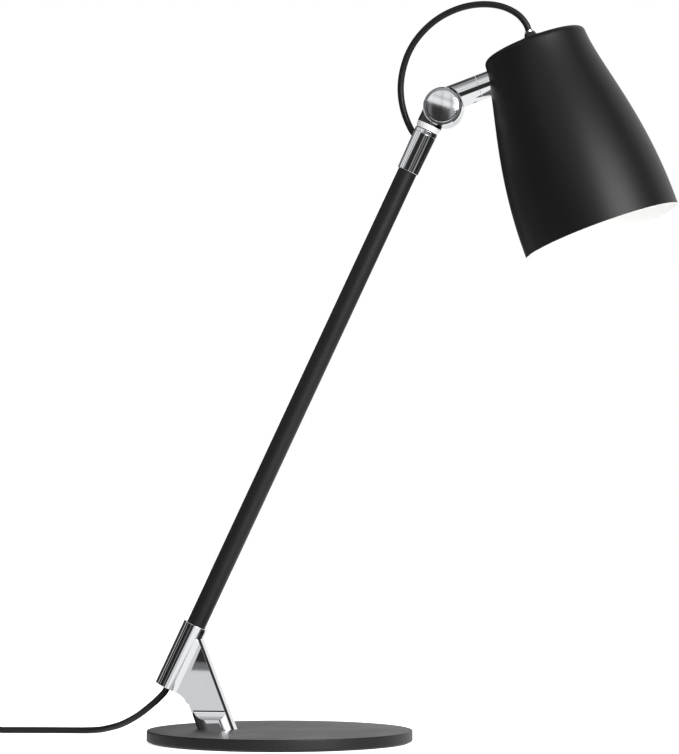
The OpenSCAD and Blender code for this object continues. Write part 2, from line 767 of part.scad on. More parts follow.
// Upper half of the knuckle: the rear disc and the stem up to the swivel seam.
module knuckle_upper() {
  color([0.8, 0.8, 0.82]) difference() {
    union() {
      on_pivot() mirror([0, 0, 1]) knuckle_disc();
      difference() {
        on_stem() cylinder(r = neck_r, h = seam_at, $fn = 96);
        on_pivot() translate([0, 0, -disc_face])
          cylinder(r = disc_r + disc_clear, h = 2 * neck_r, $fn = 128);
      }
    }
    on_pivot() translate([0, 0, -disc_out - over])
      cylinder(r = bolt_m8_r + fit, h = disc_out + over);
    on_pivot() translate([0, 0, -disc_out - over]) cylinder(r = nut_well_r, h = nut_well + over);
    on_stem() translate([0, 0, spindle_bore_from]) cylinder(r = spindle_r + fit, h = seam_at);
    on_stem() translate([0, 0, spindle_groove_at]) rotate([0, 90, 0])
      cylinder(r = keeper_r + fit, h = neck_d);
  }
}

// Screw under the stem whose tip runs in the spindle's groove and keeps it in.
module swivel_keeper() {
  tip = spindle_r - spindle_groove_depth + fit;
  color([0.15, 0.15, 0.15]) on_stem() translate([0, 0, spindle_groove_at]) rotate([0, 90, 0])
    difference() {
      translate([0, 0, tip]) cylinder(r = keeper_r, h = neck_r - keeper_sink - tip);
      translate([0, 0, neck_r - keeper_sink - keeper_socket_depth])
        hex(keeper_socket_r, keeper_socket_depth + over);
    }
}

module rear_cap() {
  color([0.82, 0.82, 0.84]) on_pivot() mirror([0, 0, 1]) translate([0, 0, disc_out])
    domed_cap(rear_cap_rise);
}

// Spindle of the swivel, fixed in the head and turning in the stem.
module swivel_spindle() {
  color([0.7, 0.7, 0.72]) on_stem() difference() {
    union() {
      translate([0, 0, spindle_from]) cylinder(r = spindle_r, h = spindle_step - spindle_from);
      translate([0, 0, spindle_from]) cylinder(r = bolt_m8_r, h = spindle_end - spindle_from);
    }
    translate([0, 0, spindle_groove_at - keeper_r - fit]) difference() {
      cylinder(r = spindle_r + over, h = 2 * (keeper_r + fit));
      translate([0, 0, -over])
        cylinder(r = spindle_r - spindle_groove_depth, h = 2 * (keeper_r + fit + over));
    }
  }
}

// End of the stem beyond the seam, cut to sit on the shade's side.
module stem_collar() {
  color([0.8, 0.8, 0.82]) difference() {
    on_stem() translate([0, 0, collar_from])
      cylinder(r = neck_r, h = stem_reach - collar_from, $fn = 96);
    on_shade() rotate_extrude($fn = 256)
      polygon(concat([[0, 0]], bell_side(0), [[0, -shade_len]]));
    on_stem() cylinder(r = spindle_r + fit, h = spindle_step);
    on_stem() cylinder(r = bolt_m8_r + fit, h = stem_reach);
  }
}

// Curved plate inside the shade that spreads the nut's pull.
module saddle_plate() {
  color([0.6, 0.6, 0.62]) difference() {
    intersection() {
      on_stem() translate([0, 0, seam_at]) cylinder(r = saddle_r, h = saddle_end - seam_at);
      on_shade() rotate_extrude($fn = 256)
        polygon(concat([[0, -shade_t]], bell_side(shade_t), [[0, -shade_len]]));
    }
    on_stem() cylinder(r = bolt_m8_r + fit, h = stem_reach);
  }
}

module stem_nut() {
  color([0.6, 0.6, 0.62]) on_stem() translate([0, 0, saddle_end]) difference() {
    hex(nut_m8_r, nut_m8_h);
    translate([0, 0, -over]) cylinder(r = bolt_m8_r + fit, h = nut_m8_h + 2 * over);
  }
}

module shade_shell() {
  outer = bell_side(0);
  inner = bell_side(shade_t);
  color([0.06, 0.06, 0.06]) difference() {
    on_shade() rotate_extrude($fn = 256)
      polygon(concat([[0, -shade_t], [0, 0]], outer,
        [for (i = [len(inner) - 1:-1:0]) inner[i]]));
    on_shade() translate([0, 0, -over - shade_t])
      cylinder(r = nipple_r + fit, h = shade_t + 2 * over);
    on_stem() translate([0, 0, seam_at]) cylinder(r = bolt_m8_r + fit, h = stem_reach - seam_at);
  }
}

module top_cap() {
  color([0.06, 0.06, 0.06]) on_shade() difference() {
    rotate_extrude($fn = 96)
      polygon([[0, 0], [top_cap_d / 2, 0], [top_cap_d / 2, top_cap_h - top_cap_edge],
        [top_cap_d / 2 - top_cap_edge, top_cap_h], [top_cap_step_r, top_cap_h],
        [top_cap_step_r - top_cap_edge, top_cap_high], [0, top_cap_high]]);
    translate([0, 0, -over]) cylinder(r = nipple_r + fit, h = nipple_high + over);
    cylinder(r = cord_room, h = top_cap_high + over);
  }
}

// Threaded tube that clamps cap, shade and lampholder together.
module holder_nipple() {
  color([0.75, 0.62, 0.3]) on_shade() translate([0, 0, nipple_low]) difference() {
    cylinder(r = nipple_r, h = nipple_high - nipple_low);
    translate([0, 0, -over]) cylinder(r = nipple_bore_r, h = nipple_high - nipple_low + 2 * over);
  }
}

module cord_gland() {
  color([0.06, 0.06, 0.06]) on_shade() translate([0, 0, top_cap_high]) difference() {
    cylinder(r1 = gland_low_r, r2 = gland_high_r, h = gland_high - top_cap_high);
    translate([0, 0, -over]) cylinder(r = cord_room, h = gland_high - top_cap_high + 2 * over);
  }
}

module gland_ring() {
  color([0.85, 0.85, 0.87]) on_shade() translate([0, 0, gland_high]) difference() {
    cylinder(r = gland_ring_r, h = gland_ring_high - gland_high);
    translate([0, 0, -over]) cylinder(r = cord_room, h = gland_ring_high - gland_high + 2 * over);
  }
}

// Cord inside the gland and the nipple, down into the lampholder.
module holder_lead() {
  color([0.05, 0.05, 0.05]) on_shade() translate([0, 0, holder_well_low])
    cylinder(r = cord_r, h = gland_ring_high - holder_well_low);
}

module lampholder_body() {
  color([0.07, 0.07, 0.07]) on_shade() rotate_extrude($fn = 96)
    polygon([[nipple_r + fit, -shade_t], [holder_neck_r, -shade_t], [holder_r, holder_slope],
      [holder_r, holder_low], [holder_cavity_r, holder_low], [holder_cavity_r, holder_floor],
      [contact_r + fit, holder_floor], [contact_r + fit, holder_well_low],
      [holder_well_r, holder_well_low], [holder_well_r, nipple_low],
      [nipple_r + fit, nipple_low]]);
}

module lampholder_ring() {
  color([0.08, 0.08, 0.08]) on_shade() translate([0, 0, holder_ring_from]) difference() {
    cylinder(r = holder_ring_r, h = holder_ring_h, $fn = 96);
    translate([0, 0, -over]) cylinder(r = holder_r + fit, h = holder_ring_h + 2 * over);
  }
}

// Screw shell inside the lampholder.
module lampholder_shell() {
  color([0.8, 0.68, 0.35]) on_shade() translate([0, 0, holder_low + over]) difference() {
    cylinder(r = screw_shell_r, h = holder_floor - holder_low - over);
    translate([0, 0, -over])
      cylinder(r = screw_shell_r - screw_shell_t, h = holder_floor - holder_low + over);
  }
}

module lampholder_contact() {
  color([0.8, 0.68, 0.35]) on_shade() {
    translate([0, 0, contact_end]) cylinder(r = contact_head_r, h = holder_floor - contact_end);
    translate([0, 0, contact_end]) cylinder(r = contact_r, h = holder_well_low - contact_end);
  }
}

// Cap of the lamp, with its tip against the contact.
module bulb_cap() {
  color([0.7, 0.7, 0.72]) on_shade() {
    translate([0, 0, bulb_cap_to]) cylinder(r = bulb_cap_r, h = bulb_cap_from - bulb_cap_to);
    translate([0, 0, bulb_cap_to]) cylinder(r = bulb_tip_r, h = contact_end - bulb_cap_to);
  }
}

module bulb_body() {
  color([0.92, 0.92, 0.92]) on_shade() translate([0, 0, bulb_body_to])
    cylinder(r1 = bulb_body_r, r2 = bulb_cap_r, h = bulb_cap_to - bulb_body_to);
}

module bulb_globe() {
  color([0.95, 0.95, 0.92]) on_shade() difference() {
    translate([0, 0, globe_at]) sphere(r = globe_r, $fn = 96);
    translate([0, 0, globe_at]) sphere(r = globe_r - globe_t, $fn = 96);
    translate([0, 0, bulb_body_to]) cylinder(r = globe_r + over, h = globe_r);
  }
}

// Cord inside the arm, from the bush to the side of the sleeve.
module inner_cord() {
  color([0.05, 0.05, 0.05]) cord_tube(inner_route, cord_sides, [0, 1, 0]);
}

module head_cord() {
  color([0.05, 0.05, 0.05]) cord_tube(loop_path, cord_sides, [0, 1, 0]);
}

module mains_cord() {
  color([0.05, 0.05, 0.05]) cord_tube(mains_path, cord_sides, [0, 0, 1]);
}

module link_cord() {
  color([0.05, 0.05, 0.05]) cord_tube(link_route, cord_sides, [0, 0, 1]);
}

module cord_coil() {
  color([0.05, 0.05, 0.05]) cord_tube(coil_route, coil_sides, [0, 0, 1]);
}

module tail_cord() {
  color([0.05, 0.05, 0.05]) cord_tube(tail_route, cord_sides, [0, 0, 1]);
}

// Band round all the coil's turns on one side, closed by a knot on top.
module coil_tie() {
  band_l = tie_to - tie_from;
  color([0.09, 0.09, 0.09]) translate([coil_at[0] + tie_from, coil_at[1], 0]) {
    difference() {
      translate([-tie_t, -tie_w / 2, 0]) cube([band_l + 2 * tie_t, tie_w, tie_top + tie_t]);
      translate([0, -tie_w / 2 - over, tie_t]) cube([band_l, tie_w + 2 * over, tie_top - tie_t]);
    }
    translate([band_l / 2 - tie_knot_len / 2, 0, tie_top + tie_t / 2 + tie_knot_r]) rotate([0, 90, 0])
      cylinder(r = tie_knot_r, h = tie_knot_len);
  }
}

module switch_outline(inset) {
  l = switch_half - inset;
  w = switch_w / 2 - inset;
  c = switch_corner - inset / 2;
  polygon([[-l, c - w], [c - l, -w], [l - c, -w], [l, c - w], [l, w - c], [l - c, w],
    [c - l, w], [-l, w - c]]);
}

module switch_bottom() {
  color([0.05, 0.05, 0.05]) translate(switch_at) difference() {
    union() {
      difference() {
        union() {
          translate([0, 0, switch_edge]) linear_extrude(height = switch_split - switch_edge)
            switch_outline(0);
          linear_extrude(height = switch_edge + over) switch_outline(switch_edge);
        }
        translate([0, 0, switch_wall]) linear_extrude(height = switch_h)
          switch_outline(switch_wall);
      }
      for (x = [-switch_screw_x, switch_screw_x]) translate([x, 0, switch_wall / 2])
        cylinder(r = switch_post_r, h = switch_split - switch_wall / 2);
    }
    for (x = [-switch_screw_x, switch_screw_x]) translate([x, 0, -over]) {
      cylinder(r = switch_screw_r + fit, h = switch_h);
      cylinder(r = switch_screw_head_r + fit, h = over + switch_screw_head_h);
    }
  }
}

module switch_top() {
  color([0.05, 0.05, 0.05]) translate(switch_at) difference() {
    union() {
      difference() {
        union() {
          translate([0, 0, switch_split])
            linear_extrude(height = switch_h - switch_split - switch_edge) switch_outline(0);
          translate([0, 0, switch_split]) linear_extrude(height = switch_h - switch_split)
            switch_outline(switch_edge);
        }
        translate([0, 0, switch_split - over])
          linear_extrude(height = switch_h - switch_split - switch_wall + over)
            switch_outline(switch_wall);
      }
      for (x = [-switch_screw_x, switch_screw_x]) translate([x, 0, switch_split])
        cylinder(r = switch_post_r, h = switch_h - switch_split - switch_wall / 2);
      for (side = [-1, 1]) translate([-rocker_lug[0] / 2,
        side * (rocker_lug_y + rocker_lug[1] / 2) - rocker_lug[1] / 2,
        switch_h - switch_wall / 2 - rocker_lug[2]]) cube(rocker_lug);
    }
    translate([-rocker_half - rocker_room, -rocker_lug_y, switch_split])
      cube([2 * (rocker_half + rocker_room), 2 * rocker_lug_y, switch_h]);
    translate([0, rocker_pin_reach + rocker_pin_room, rocker_axis_z]) rotate([90, 0, 0])
      cylinder(r = rocker_pin_r + fit, h = 2 * (rocker_pin_reach + rocker_pin_room));
    for (x = [-switch_screw_x, switch_screw_x]) translate([x, 0, 0])
      cylinder(r = switch_screw_r + fit, h = switch_screw_len + over / 2);
  }
}

// Rocker, pressed down at one end. It turns on its two side pins.
module switch_rocker() {
  color([0.1, 0.1, 0.1]) translate(switch_at + [0, 0, rocker_axis_z]) rotate([90, rocker_rest, 0]) {
    translate([0, 0, -rocker_w / 2]) linear_extrude(height = rocker_w)
      polygon([[-rocker_half, -rocker_low], [-rocker_half, rocker_ear_h], [0, rocker_dip_h],
        [rocker_half, rocker_ear_h], [rocker_half, -rocker_low], [0, -rocker_keel]]);
    translate([0, 0, -rocker_pin_reach]) cylinder(r = rocker_pin_r, h = 2 * rocker_pin_reach);
  }
}

module switch_screws() {
  color([0.6, 0.6, 0.62]) for (x = [-switch_screw_x, switch_screw_x])
    translate(switch_at + [x, 0, switch_screw_sink]) {
      cylinder(r = switch_screw_head_r, h = switch_screw_head_h - switch_screw_sink);
      cylinder(r = switch_screw_r, h = switch_screw_len);
    }
}

// Tapered, grooved relief from its fixed end at z = 0 to the cord.
module relief(big_r, l) {
  step = l / (2 * relief_grooves + 1);
  difference() {
    cylinder(r1 = big_r, r2 = relief_small_r, h = l);
    for (i = [1:relief_grooves]) translate([0, 0, (2 * i - 1) * step + step / 4]) difference() {
      cylinder(r = big_r + over, h = step / 2);
      translate([0, 0, -over])
        cylinder(r = big_r + (relief_small_r - big_r) * 2 * i * step / l - relief_groove,
          h = step + 2 * over);
    }
  }
}

module switch_reliefs() {
  color([0.06, 0.06, 0.06]) for (side = [0, 1]) translate(switch_at + [0, 0, switch_axis_z])
    mirror([side, 0, 0]) translate([switch_half, 0, 0]) rotate([0, 90, 0])
      relief(relief_big_r, relief_len);
}

module plug_relief() {
  color([0.06, 0.06, 0.06]) translate(plug_at + [0, 0, plug_axis_z]) rotate([0, -90, 0])
    relief(plug_big_r, plug_relief_len);
}

// Flat plug body, narrow at the cord and with rounded sides.
module plug_body() {
  side_r = plug_t / 2;
  color([0.05, 0.05, 0.05]) translate(plug_at) intersection() {
    translate([0, 0, side_r]) rotate([0, 90, 0]) {
      translate([0, side_r - plug_w / 2, 0]) cylinder(r = side_r, h = plug_len);
      translate([0, plug_w / 2 - side_r, 0]) cylinder(r = side_r, h = plug_len);
      translate([-side_r, side_r - plug_w / 2, 0]) cube([plug_t, plug_w - plug_t, plug_len]);
    }
    translate([0, 0, -over]) linear_extrude(height = plug_t + 2 * over)
      polygon([[0, -plug_neck_w / 2], [plug_shoulder, -plug_w / 2], [plug_len, -plug_w / 2],
        [plug_len, plug_w / 2], [plug_shoulder, plug_w / 2], [0, plug_neck_w / 2]]);
  }
}

module plug_pins() {
  color([0.75, 0.75, 0.77]) for (side = [-1, 1])
    translate(plug_at + [plug_len, side * pin_apart / 2, plug_axis_z]) rotate([0, 90, 0]) {
      cylinder(r = pin_r, h = pin_len - pin_r / 2);
      translate([0, 0, pin_len - pin_r / 2]) cylinder(r1 = pin_r, r2 = pin_r / 2, h = pin_r / 2);
    }
}

base_plate();
base_pad();
bracket_screws();
foot_bracket();
collar_grub_screw();
cord_bush();
arm_tube();
arm_sleeve();
sleeve_grommet();
sleeve_ring();
neck_washer();
knuckle_lower();
pivot_bolt();
friction_washer();
spring_washer();
pivot_nut();
front_cap();
knuckle_upper();
swivel_keeper();
rear_cap();
swivel_spindle();
stem_collar();
saddle_plate();
stem_nut();
shade_shell();
top_cap();
holder_nipple();
cord_gland();
gland_ring();
holder_lead();
lampholder_body();
lampholder_ring();
lampholder_shell();
lampholder_contact();
bulb_cap();
bulb_body();
bulb_globe();
inner_cord();
head_cord();
mains_cord();
link_cord();
cord_coil();
tail_cord();
coil_tie();
switch_bottom();
switch_top();
switch_rocker();
switch_screws();
switch_reliefs();
plug_relief();
plug_body();
plug_pins();
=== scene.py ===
import math

import bmesh
import bpy
from mathutils import Matrix, Vector


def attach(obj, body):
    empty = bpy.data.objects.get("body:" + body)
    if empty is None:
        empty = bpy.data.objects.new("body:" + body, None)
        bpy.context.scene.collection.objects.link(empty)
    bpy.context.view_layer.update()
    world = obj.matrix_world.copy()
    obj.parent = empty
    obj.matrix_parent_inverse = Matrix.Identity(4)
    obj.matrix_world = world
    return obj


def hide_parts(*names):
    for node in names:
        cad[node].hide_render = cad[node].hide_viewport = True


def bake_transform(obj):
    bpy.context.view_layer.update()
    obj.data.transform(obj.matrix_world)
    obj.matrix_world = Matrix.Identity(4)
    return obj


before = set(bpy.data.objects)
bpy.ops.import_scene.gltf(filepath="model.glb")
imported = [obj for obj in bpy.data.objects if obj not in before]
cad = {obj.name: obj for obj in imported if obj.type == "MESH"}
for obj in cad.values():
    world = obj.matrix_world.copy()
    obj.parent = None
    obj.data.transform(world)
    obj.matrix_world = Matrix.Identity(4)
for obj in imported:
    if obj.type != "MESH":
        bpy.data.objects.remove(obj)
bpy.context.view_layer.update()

# Camera. It stands where the photograph was taken: low and far away, a little to the right
# of the base's middle, and it looks up at the lamp by two and a half degrees.
camera_data = bpy.data.cameras.new("camera")
camera_data.lens = 141.25
camera_data.sensor_width = 36
camera_data.clip_end = 50
camera = bpy.data.objects.new("camera", camera_data)
camera.location = (0.43356, -2.42124, 0.19065)
look = Vector((-0.156274, 0.986674, 0.045305))
camera.rotation_euler = look.to_track_quat("-Z", "Y").to_euler()
bpy.context.scene.collection.objects.link(camera)
bpy.context.scene.camera = camera

# Lead. Round black PVC flex, 5.4 mm thick. It leaves the collar, drops to the table, runs
# through the switch into a tied coil and ends in a flat plug. A short free loop of the same
# flex joins the arm's sleeve to the gland on the shade.
flex_r, hidden_end, route_parts = 0.0027, 0.004, 6
arm_lean = math.radians(25.35)
arm_place = Matrix.Translation((-0.09525, 0, 0.0444)) @ Matrix.Rotation(arm_lean, 4, "Y")
pivot = Vector((0.137642, 0, 0.524297))
head_place = Matrix.Translation(pivot) @ Matrix.Rotation(math.radians(-19.7), 4, "Y")
shade_place = head_place @ Matrix.Translation((0.0875, 0, 0.0233))


def smooth_route(points):
    """Even curve through the given points."""
    p = [Vector(q) for q in points]
    p = [2 * p[0] - p[1], *p, 2 * p[-1] - p[-2]]
    line = []
    for a, b, c, d in zip(p, p[1:], p[2:], p[3:]):
        tb = (b - a).length ** 0.5
        tc = tb + (c - b).length ** 0.5
        td = tc + (d - c).length ** 0.5
        for i in range(route_parts):
            t = tb + (tc - tb) * i / route_parts
            ab = a.lerp(b, t / tb)
            bc = b.lerp(c, (t - tb) / (tc - tb))
            cd = c.lerp(d, (t - tc) / (td - tc))
            abc = ab.lerp(bc, t / tc)
            bcd = bc.lerp(cd, (t - tb) / (td - tb))
            line.append(abc.lerp(bcd, (t - tb) / (tc - tb)))
    return [*line, p[-2]]


def new_piece(name, points, faces):
    """Mesh object from its points and faces, with its normals facing out."""
    mesh = bpy.data.meshes.new(name)
    mesh.from_pydata([tuple(p) for p in points], [], faces)
    skin = bmesh.new()
    skin.from_mesh(mesh)
    bmesh.ops.recalc_face_normals(skin, faces=skin.faces)
    skin.to_mesh(mesh)
    skin.free()
    mesh.polygons.foreach_set("use_smooth", [True] * len(mesh.polygons))
    piece = bpy.data.objects.new(name, mesh)
    bpy.context.scene.collection.objects.link(piece)
    return piece


def flex(name, line, sides=20, r=flex_r):
    """Round flex along a line, closed at both ends."""
    side = (line[1] - line[0]).orthogonal().normalized()
    points, faces = [], []
    for i, p in enumerate(line):
        ahead = (line[min(i + 1, len(line) - 1)] - line[max(i - 1, 0)]).normalized()
        side = (side - side.dot(ahead) * ahead).normalized()
        over = ahead.cross(side)
        for k in range(sides):
            w = math.tau * k / sides
            points.append(p + r * (math.cos(w) * side + math.sin(w) * over))
    for i in range(len(line) - 1):
        for k in range(sides):
            a, b = i * sides + k, i * sides + (k + 1) % sides
            faces.append((a, b, b + sides, a + sides))
    faces.append(tuple(range(sides)))
    faces.append(tuple(range(len(points) - sides, len(points))))
    piece = new_piece(name, points, faces)
    piece.data.set_sharp_from_angle(angle=math.radians(50))
    return piece


def on_table(line):
    """Line that nowhere dips into the table."""
    return [Vector((p.x, p.y, max(p.z, flex_r))) for p in line]


exit_at = Vector((0.114158, 0.008712, 0.498155))
exit_ahead = Vector((-0.135188, 0.717968, 0.682823))
gland_at = shade_place @ Vector((0, 0, 0.0116))
gland_ahead = shade_place.to_3x3() @ Vector((0, 0, 1))
loop = [(0.1134, 0.0126, 0.5018), (0.1092, 0.0161, 0.5072), (0.1054, 0.0175, 0.5145),
        (0.1019, 0.0171, 0.5242), (0.0998, 0.0158, 0.5355), (0.0997, 0.0142, 0.5475),
        (0.1019, 0.0123, 0.5594), (0.1062, 0.0105, 0.5714), (0.1127, 0.0088, 0.5821),
        (0.1212, 0.007, 0.5914), (0.1317, 0.0052, 0.5994), (0.1432, 0.0035, 0.6051),
        (0.1557, 0.0022, 0.6088), (0.1682, 0.0013, 0.6101), (0.1807, 0.0006, 0.609),
        (0.1917, 0.0001, 0.6053), (0.2007, 0, 0.5993)]
loop = [exit_at, *loop, gland_at + 2 * flex_r * gland_ahead, gland_at]
loop_top = 11
lower_loop = smooth_route(loop)
upper_loop = lower_loop[loop_top * route_parts:]
lower_loop = lower_loop[:loop_top * route_parts + 1]
lower_loop.insert(0, exit_at - hidden_end * exit_ahead)
upper_loop.append(gland_at - hidden_end * gland_ahead)
arm_loop = flex("arm_loop", lower_loop)
shade_loop = flex("shade_loop", upper_loop)
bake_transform(arm_loop)
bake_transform(shade_loop)
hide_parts("head_cord")

to_switch = [(-0.09525, 0, 0.0444), (-0.09696, 0, 0.04079), (-0.1035, 0.001, 0.034),
             (-0.111, 0.005, 0.028), (-0.121, 0.013, 0.021), (-0.132, 0.0235, 0.015),
             (-0.1435, 0.0355, 0.01), (-0.155, 0.047, 0.0066), (-0.166, 0.0565, 0.0041),
             (-0.176, 0.062, 0.0031), (-0.186, 0.0637, 0.0027), (-0.203, 0.0627, 0.0027),
             (-0.22, 0.0612, 0.0027), (-0.237, 0.059, 0.0027), (-0.252, 0.0568, 0.0027),
             (-0.261, 0.0552, 0.0043), (-0.2666, 0.0545, 0.0065), (-0.272, 0.0545, 0.0065)]
arm_ahead = arm_place.to_3x3() @ Vector((0, 0, 1))
mains_line = on_table(smooth_route(to_switch))
mains_line.insert(0, mains_line[0] + hidden_end * arm_ahead)
mains_line.append(mains_line[-1] - Vector((hidden_end, 0, 0)))
mains_flex = flex("mains_flex", mains_line)

into_coil = [(-0.366, 0.0545, 0.0065), (-0.3715, 0.0545, 0.0065), (-0.380684, 0.052673, 0.0057),
             (-0.388471, 0.047471, 0.0049), (-0.393673, 0.039684, 0.0041),
             (-0.3955, 0.0305, 0.0033), (-0.3955, 0.018, 0.0033), (-0.3955, 0.006, 0.0033),
             (-0.3955, -0.0066, 0.0033)]
coil_middle = Vector((-0.356, -0.012, 0))
coil_start, coil_pitch, coil_low, coil_layer = 0.0395, 0.0062, 0.0033, 0.0059
turns_in, turns_out = 3, 3.5


def coil_point(t):
    """Place on the coil after t turns: in on the table, up half a turn, out on top."""
    inmost = coil_start - coil_pitch * turns_in
    u = t - turns_in
    if u < 0:
        r = coil_start - coil_pitch * t
    elif u < 0.5:
        r = inmost - coil_pitch * u + 2 * coil_pitch * u * u
    else:
        r = inmost + coil_pitch * (u - 0.5)
    rise = min(1, max(0, 2 * u))
    z = coil_low + coil_layer * rise * rise * (3 - 2 * rise)
    w = math.tau * t
    return coil_middle + Vector((-r * math.cos(w), -r * math.sin(w), z))


coil_steps = 48
coil = [coil_point(i / coil_steps)
        for i in range(int((turns_in + 0.5 + turns_out) * coil_steps) + 1)]
to_plug = [(-0.3986, -0.0174, 0.0092), (-0.3986, -0.0228, 0.0092), (-0.3985, -0.03, 0.0079),
           (-0.3975, -0.04, 0.0052), (-0.395, -0.052, 0.0032), (-0.3895, -0.064, 0.0027),
           (-0.3805, -0.0745, 0.0027), (-0.369, -0.082, 0.0032), (-0.356, -0.0868, 0.005),
           (-0.3434, -0.088, 0.007), (-0.338, -0.088, 0.007)]
coil_line = on_table([*smooth_route(into_coil), *coil, *smooth_route(to_plug)])
coil_line.insert(0, coil_line[0] + Vector((hidden_end, 0, 0)))
coil_line.append(coil_line[-1] + Vector((hidden_end, 0, 0)))
coil_flex = flex("coil_flex", coil_line, sides=16)
for piece in (mains_flex, coil_flex):
    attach(piece, "stand")
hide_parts("mains_cord")
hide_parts("link_cord", "cord_coil", "tail_cord")


def new_group(name, inputs, outputs):
    """Empty shader node group with its named sockets."""
    group = bpy.data.node_groups.new(name, "ShaderNodeTree")
    for title, kind in inputs:
        group.interface.new_socket(title, in_out="INPUT", socket_type=kind)
    for title in outputs:
        group.interface.new_socket(title, in_out="OUTPUT", socket_type="NodeSocketFloat")
    return group, group.nodes.new("NodeGroupInput"), group.nodes.new("NodeGroupOutput")


uneven, given, made = new_group(
    "uneven surface",
    [("Vector", "NodeSocketVector"), ("Patch size", "NodeSocketFloat"),
     ("Grain size", "NodeSocketFloat")],
    ["Patches", "Grain"])
for size, title, detail in (("Patch size", "Patches", 3), ("Grain size", "Grain", 1)):
    scale = uneven.nodes.new("ShaderNodeMath")
    scale.operation = "DIVIDE"
    scale.inputs[0].default_value = 1
    noise = uneven.nodes.new("ShaderNodeTexNoise")
    noise.inputs["Detail"].default_value = detail
    uneven.links.new(given.outputs[size], scale.inputs[1])
    uneven.links.new(scale.outputs[0], noise.inputs["Scale"])
    uneven.links.new(given.outputs["Vector"], noise.inputs["Vector"])
    uneven.links.new(noise.outputs[0], made.inputs[title])


def finish(name, dark, light, rough, patch=0.03, grain=0.0008, bump=0.1, **fixed):
    """Material whose colour, gloss and skin vary a little over the surface."""
    material = bpy.data.materials.new(name)
    material.use_nodes = True
    tree = material.node_tree
    shader = tree.nodes["Principled BSDF"]
    place = tree.nodes.new("ShaderNodeTexCoord")
    vary = tree.nodes.new("ShaderNodeGroup")
    vary.node_tree = uneven
    vary.inputs["Patch size"].default_value = patch
    vary.inputs["Grain size"].default_value = grain
    tree.links.new(place.outputs["Object"], vary.inputs["Vector"])
    colour = tree.nodes.new("ShaderNodeMix")
    colour.data_type = "RGBA"
    colour.inputs[6].default_value = (*dark, 1)
    colour.inputs[7].default_value = (*light, 1)
    tree.links.new(vary.outputs["Patches"], colour.inputs[0])
    tree.links.new(colour.outputs[2], shader.inputs["Base Color"])
    gloss = tree.nodes.new("ShaderNodeMapRange")
    gloss.inputs["From Min"].default_value = 0.3
    gloss.inputs["From Max"].default_value = 0.7
    gloss.inputs["To Min"].default_value, gloss.inputs["To Max"].default_value = rough
    tree.links.new(vary.outputs["Patches"], gloss.inputs["Value"])
    tree.links.new(gloss.outputs[0], shader.inputs["Roughness"])
    skin = tree.nodes.new("ShaderNodeBump")
    skin.inputs["Strength"].default_value = bump
    skin.inputs["Distance"].default_value = grain / 4
    tree.links.new(vary.outputs["Grain"], skin.inputs["Height"])
    tree.links.new(skin.outputs[0], shader.inputs["Normal"])
    for socket, value in fixed.items():
        shader.inputs[socket.replace("_", " ")].default_value = value
    return material


flex_black = finish("flex_black", (0.004, 0.004, 0.004), (0.006, 0.006, 0.006), (0.36, 0.46),
                    patch=0.012, grain=0.0005, Specular_IOR_Level=0.3)
for piece in (arm_loop, shade_loop, mains_flex, coil_flex):
    piece.data.materials.append(flex_black)
for name in ("inner_cord", "holder_lead"):
    cad[name].data.materials.clear()
    cad[name].data.materials.append(flex_black)

# Base. A round steel plate, turned and powder coated in fine matt black, on a thin foam pad
# that keeps it off the table. Two countersunk screws under it hold the bracket.
powder_black = finish("powder_black", (0.003, 0.003, 0.0032), (0.0045, 0.0045, 0.0047),
                      (0.4, 0.46), patch=0.05, grain=0.0006, bump=0.1, Specular_IOR_Level=0.36)


def round_corners(profile, steps=5):
    """Profile in millimetres; a third number rounds that corner by as much."""
    line = []
    for i, corner in enumerate(profile):
        at = Vector(corner[:2])
        if len(corner) == 2:
            line.append(at)
            continue
        before = Vector(profile[i - 1][:2]) - at
        after = Vector(profile[(i + 1) % len(profile)][:2]) - at
        a, c = at + before.normalized() * corner[2], at + after.normalized() * corner[2]
        for k in range(steps + 1):
            t = k / steps
            line.append(a.lerp(at, t).lerp(at.lerp(c, t), t))
    return line


def even_shading(piece):
    """Let wide flat faces lead the shading of the narrow ones beside them."""
    even = piece.modifiers.new("even shading", "WEIGHTED_NORMAL")
    even.keep_sharp = True


def turned(name, profile, place, sides=160, keep_sharp=40):
    """Piece turned round its local Z. A profile that starts off the axis is a closed ring."""
    line = round_corners(profile)
    ring = line[0].x > 0
    points, starts = [], []
    for p in line:
        starts.append(len(points))
        count = sides if p.x > 0 else 1
        for k in range(count):
            w = math.tau * k / sides
            points.append((p.x * math.cos(w) / 1000, p.x * math.sin(w) / 1000, p.y / 1000))
    faces = []
    last = len(line) if ring else len(line) - 1
    for i in range(last):
        j = (i + 1) % len(line)
        for k in range(sides):
            n = (k + 1) % sides
            a = starts[i] + (k if line[i].x > 0 else 0)
            b = starts[i] + (n if line[i].x > 0 else 0)
            c = starts[j] + (n if line[j].x > 0 else 0)
            d = starts[j] + (k if line[j].x > 0 else 0)
            faces.append(tuple(dict.fromkeys((a, b, c, d))))
    piece = new_piece(name, points, faces)
    piece.data.set_sharp_from_angle(angle=math.radians(keep_sharp))
    piece.matrix_world = place
    even_shading(piece)
    return piece


def fit_out(piece, body, material, slot, *nodes):
    """Give a finished piece its material and its place in the frame."""
    piece.data.materials.append(material)
    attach(piece, body)
    if nodes:
        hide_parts(*nodes)


def keep(material, *names):
    """Give CAD nodes that stay their material."""
    for name in names:
        cad[name].data.materials.clear()
        cad[name].data.materials.append(material)


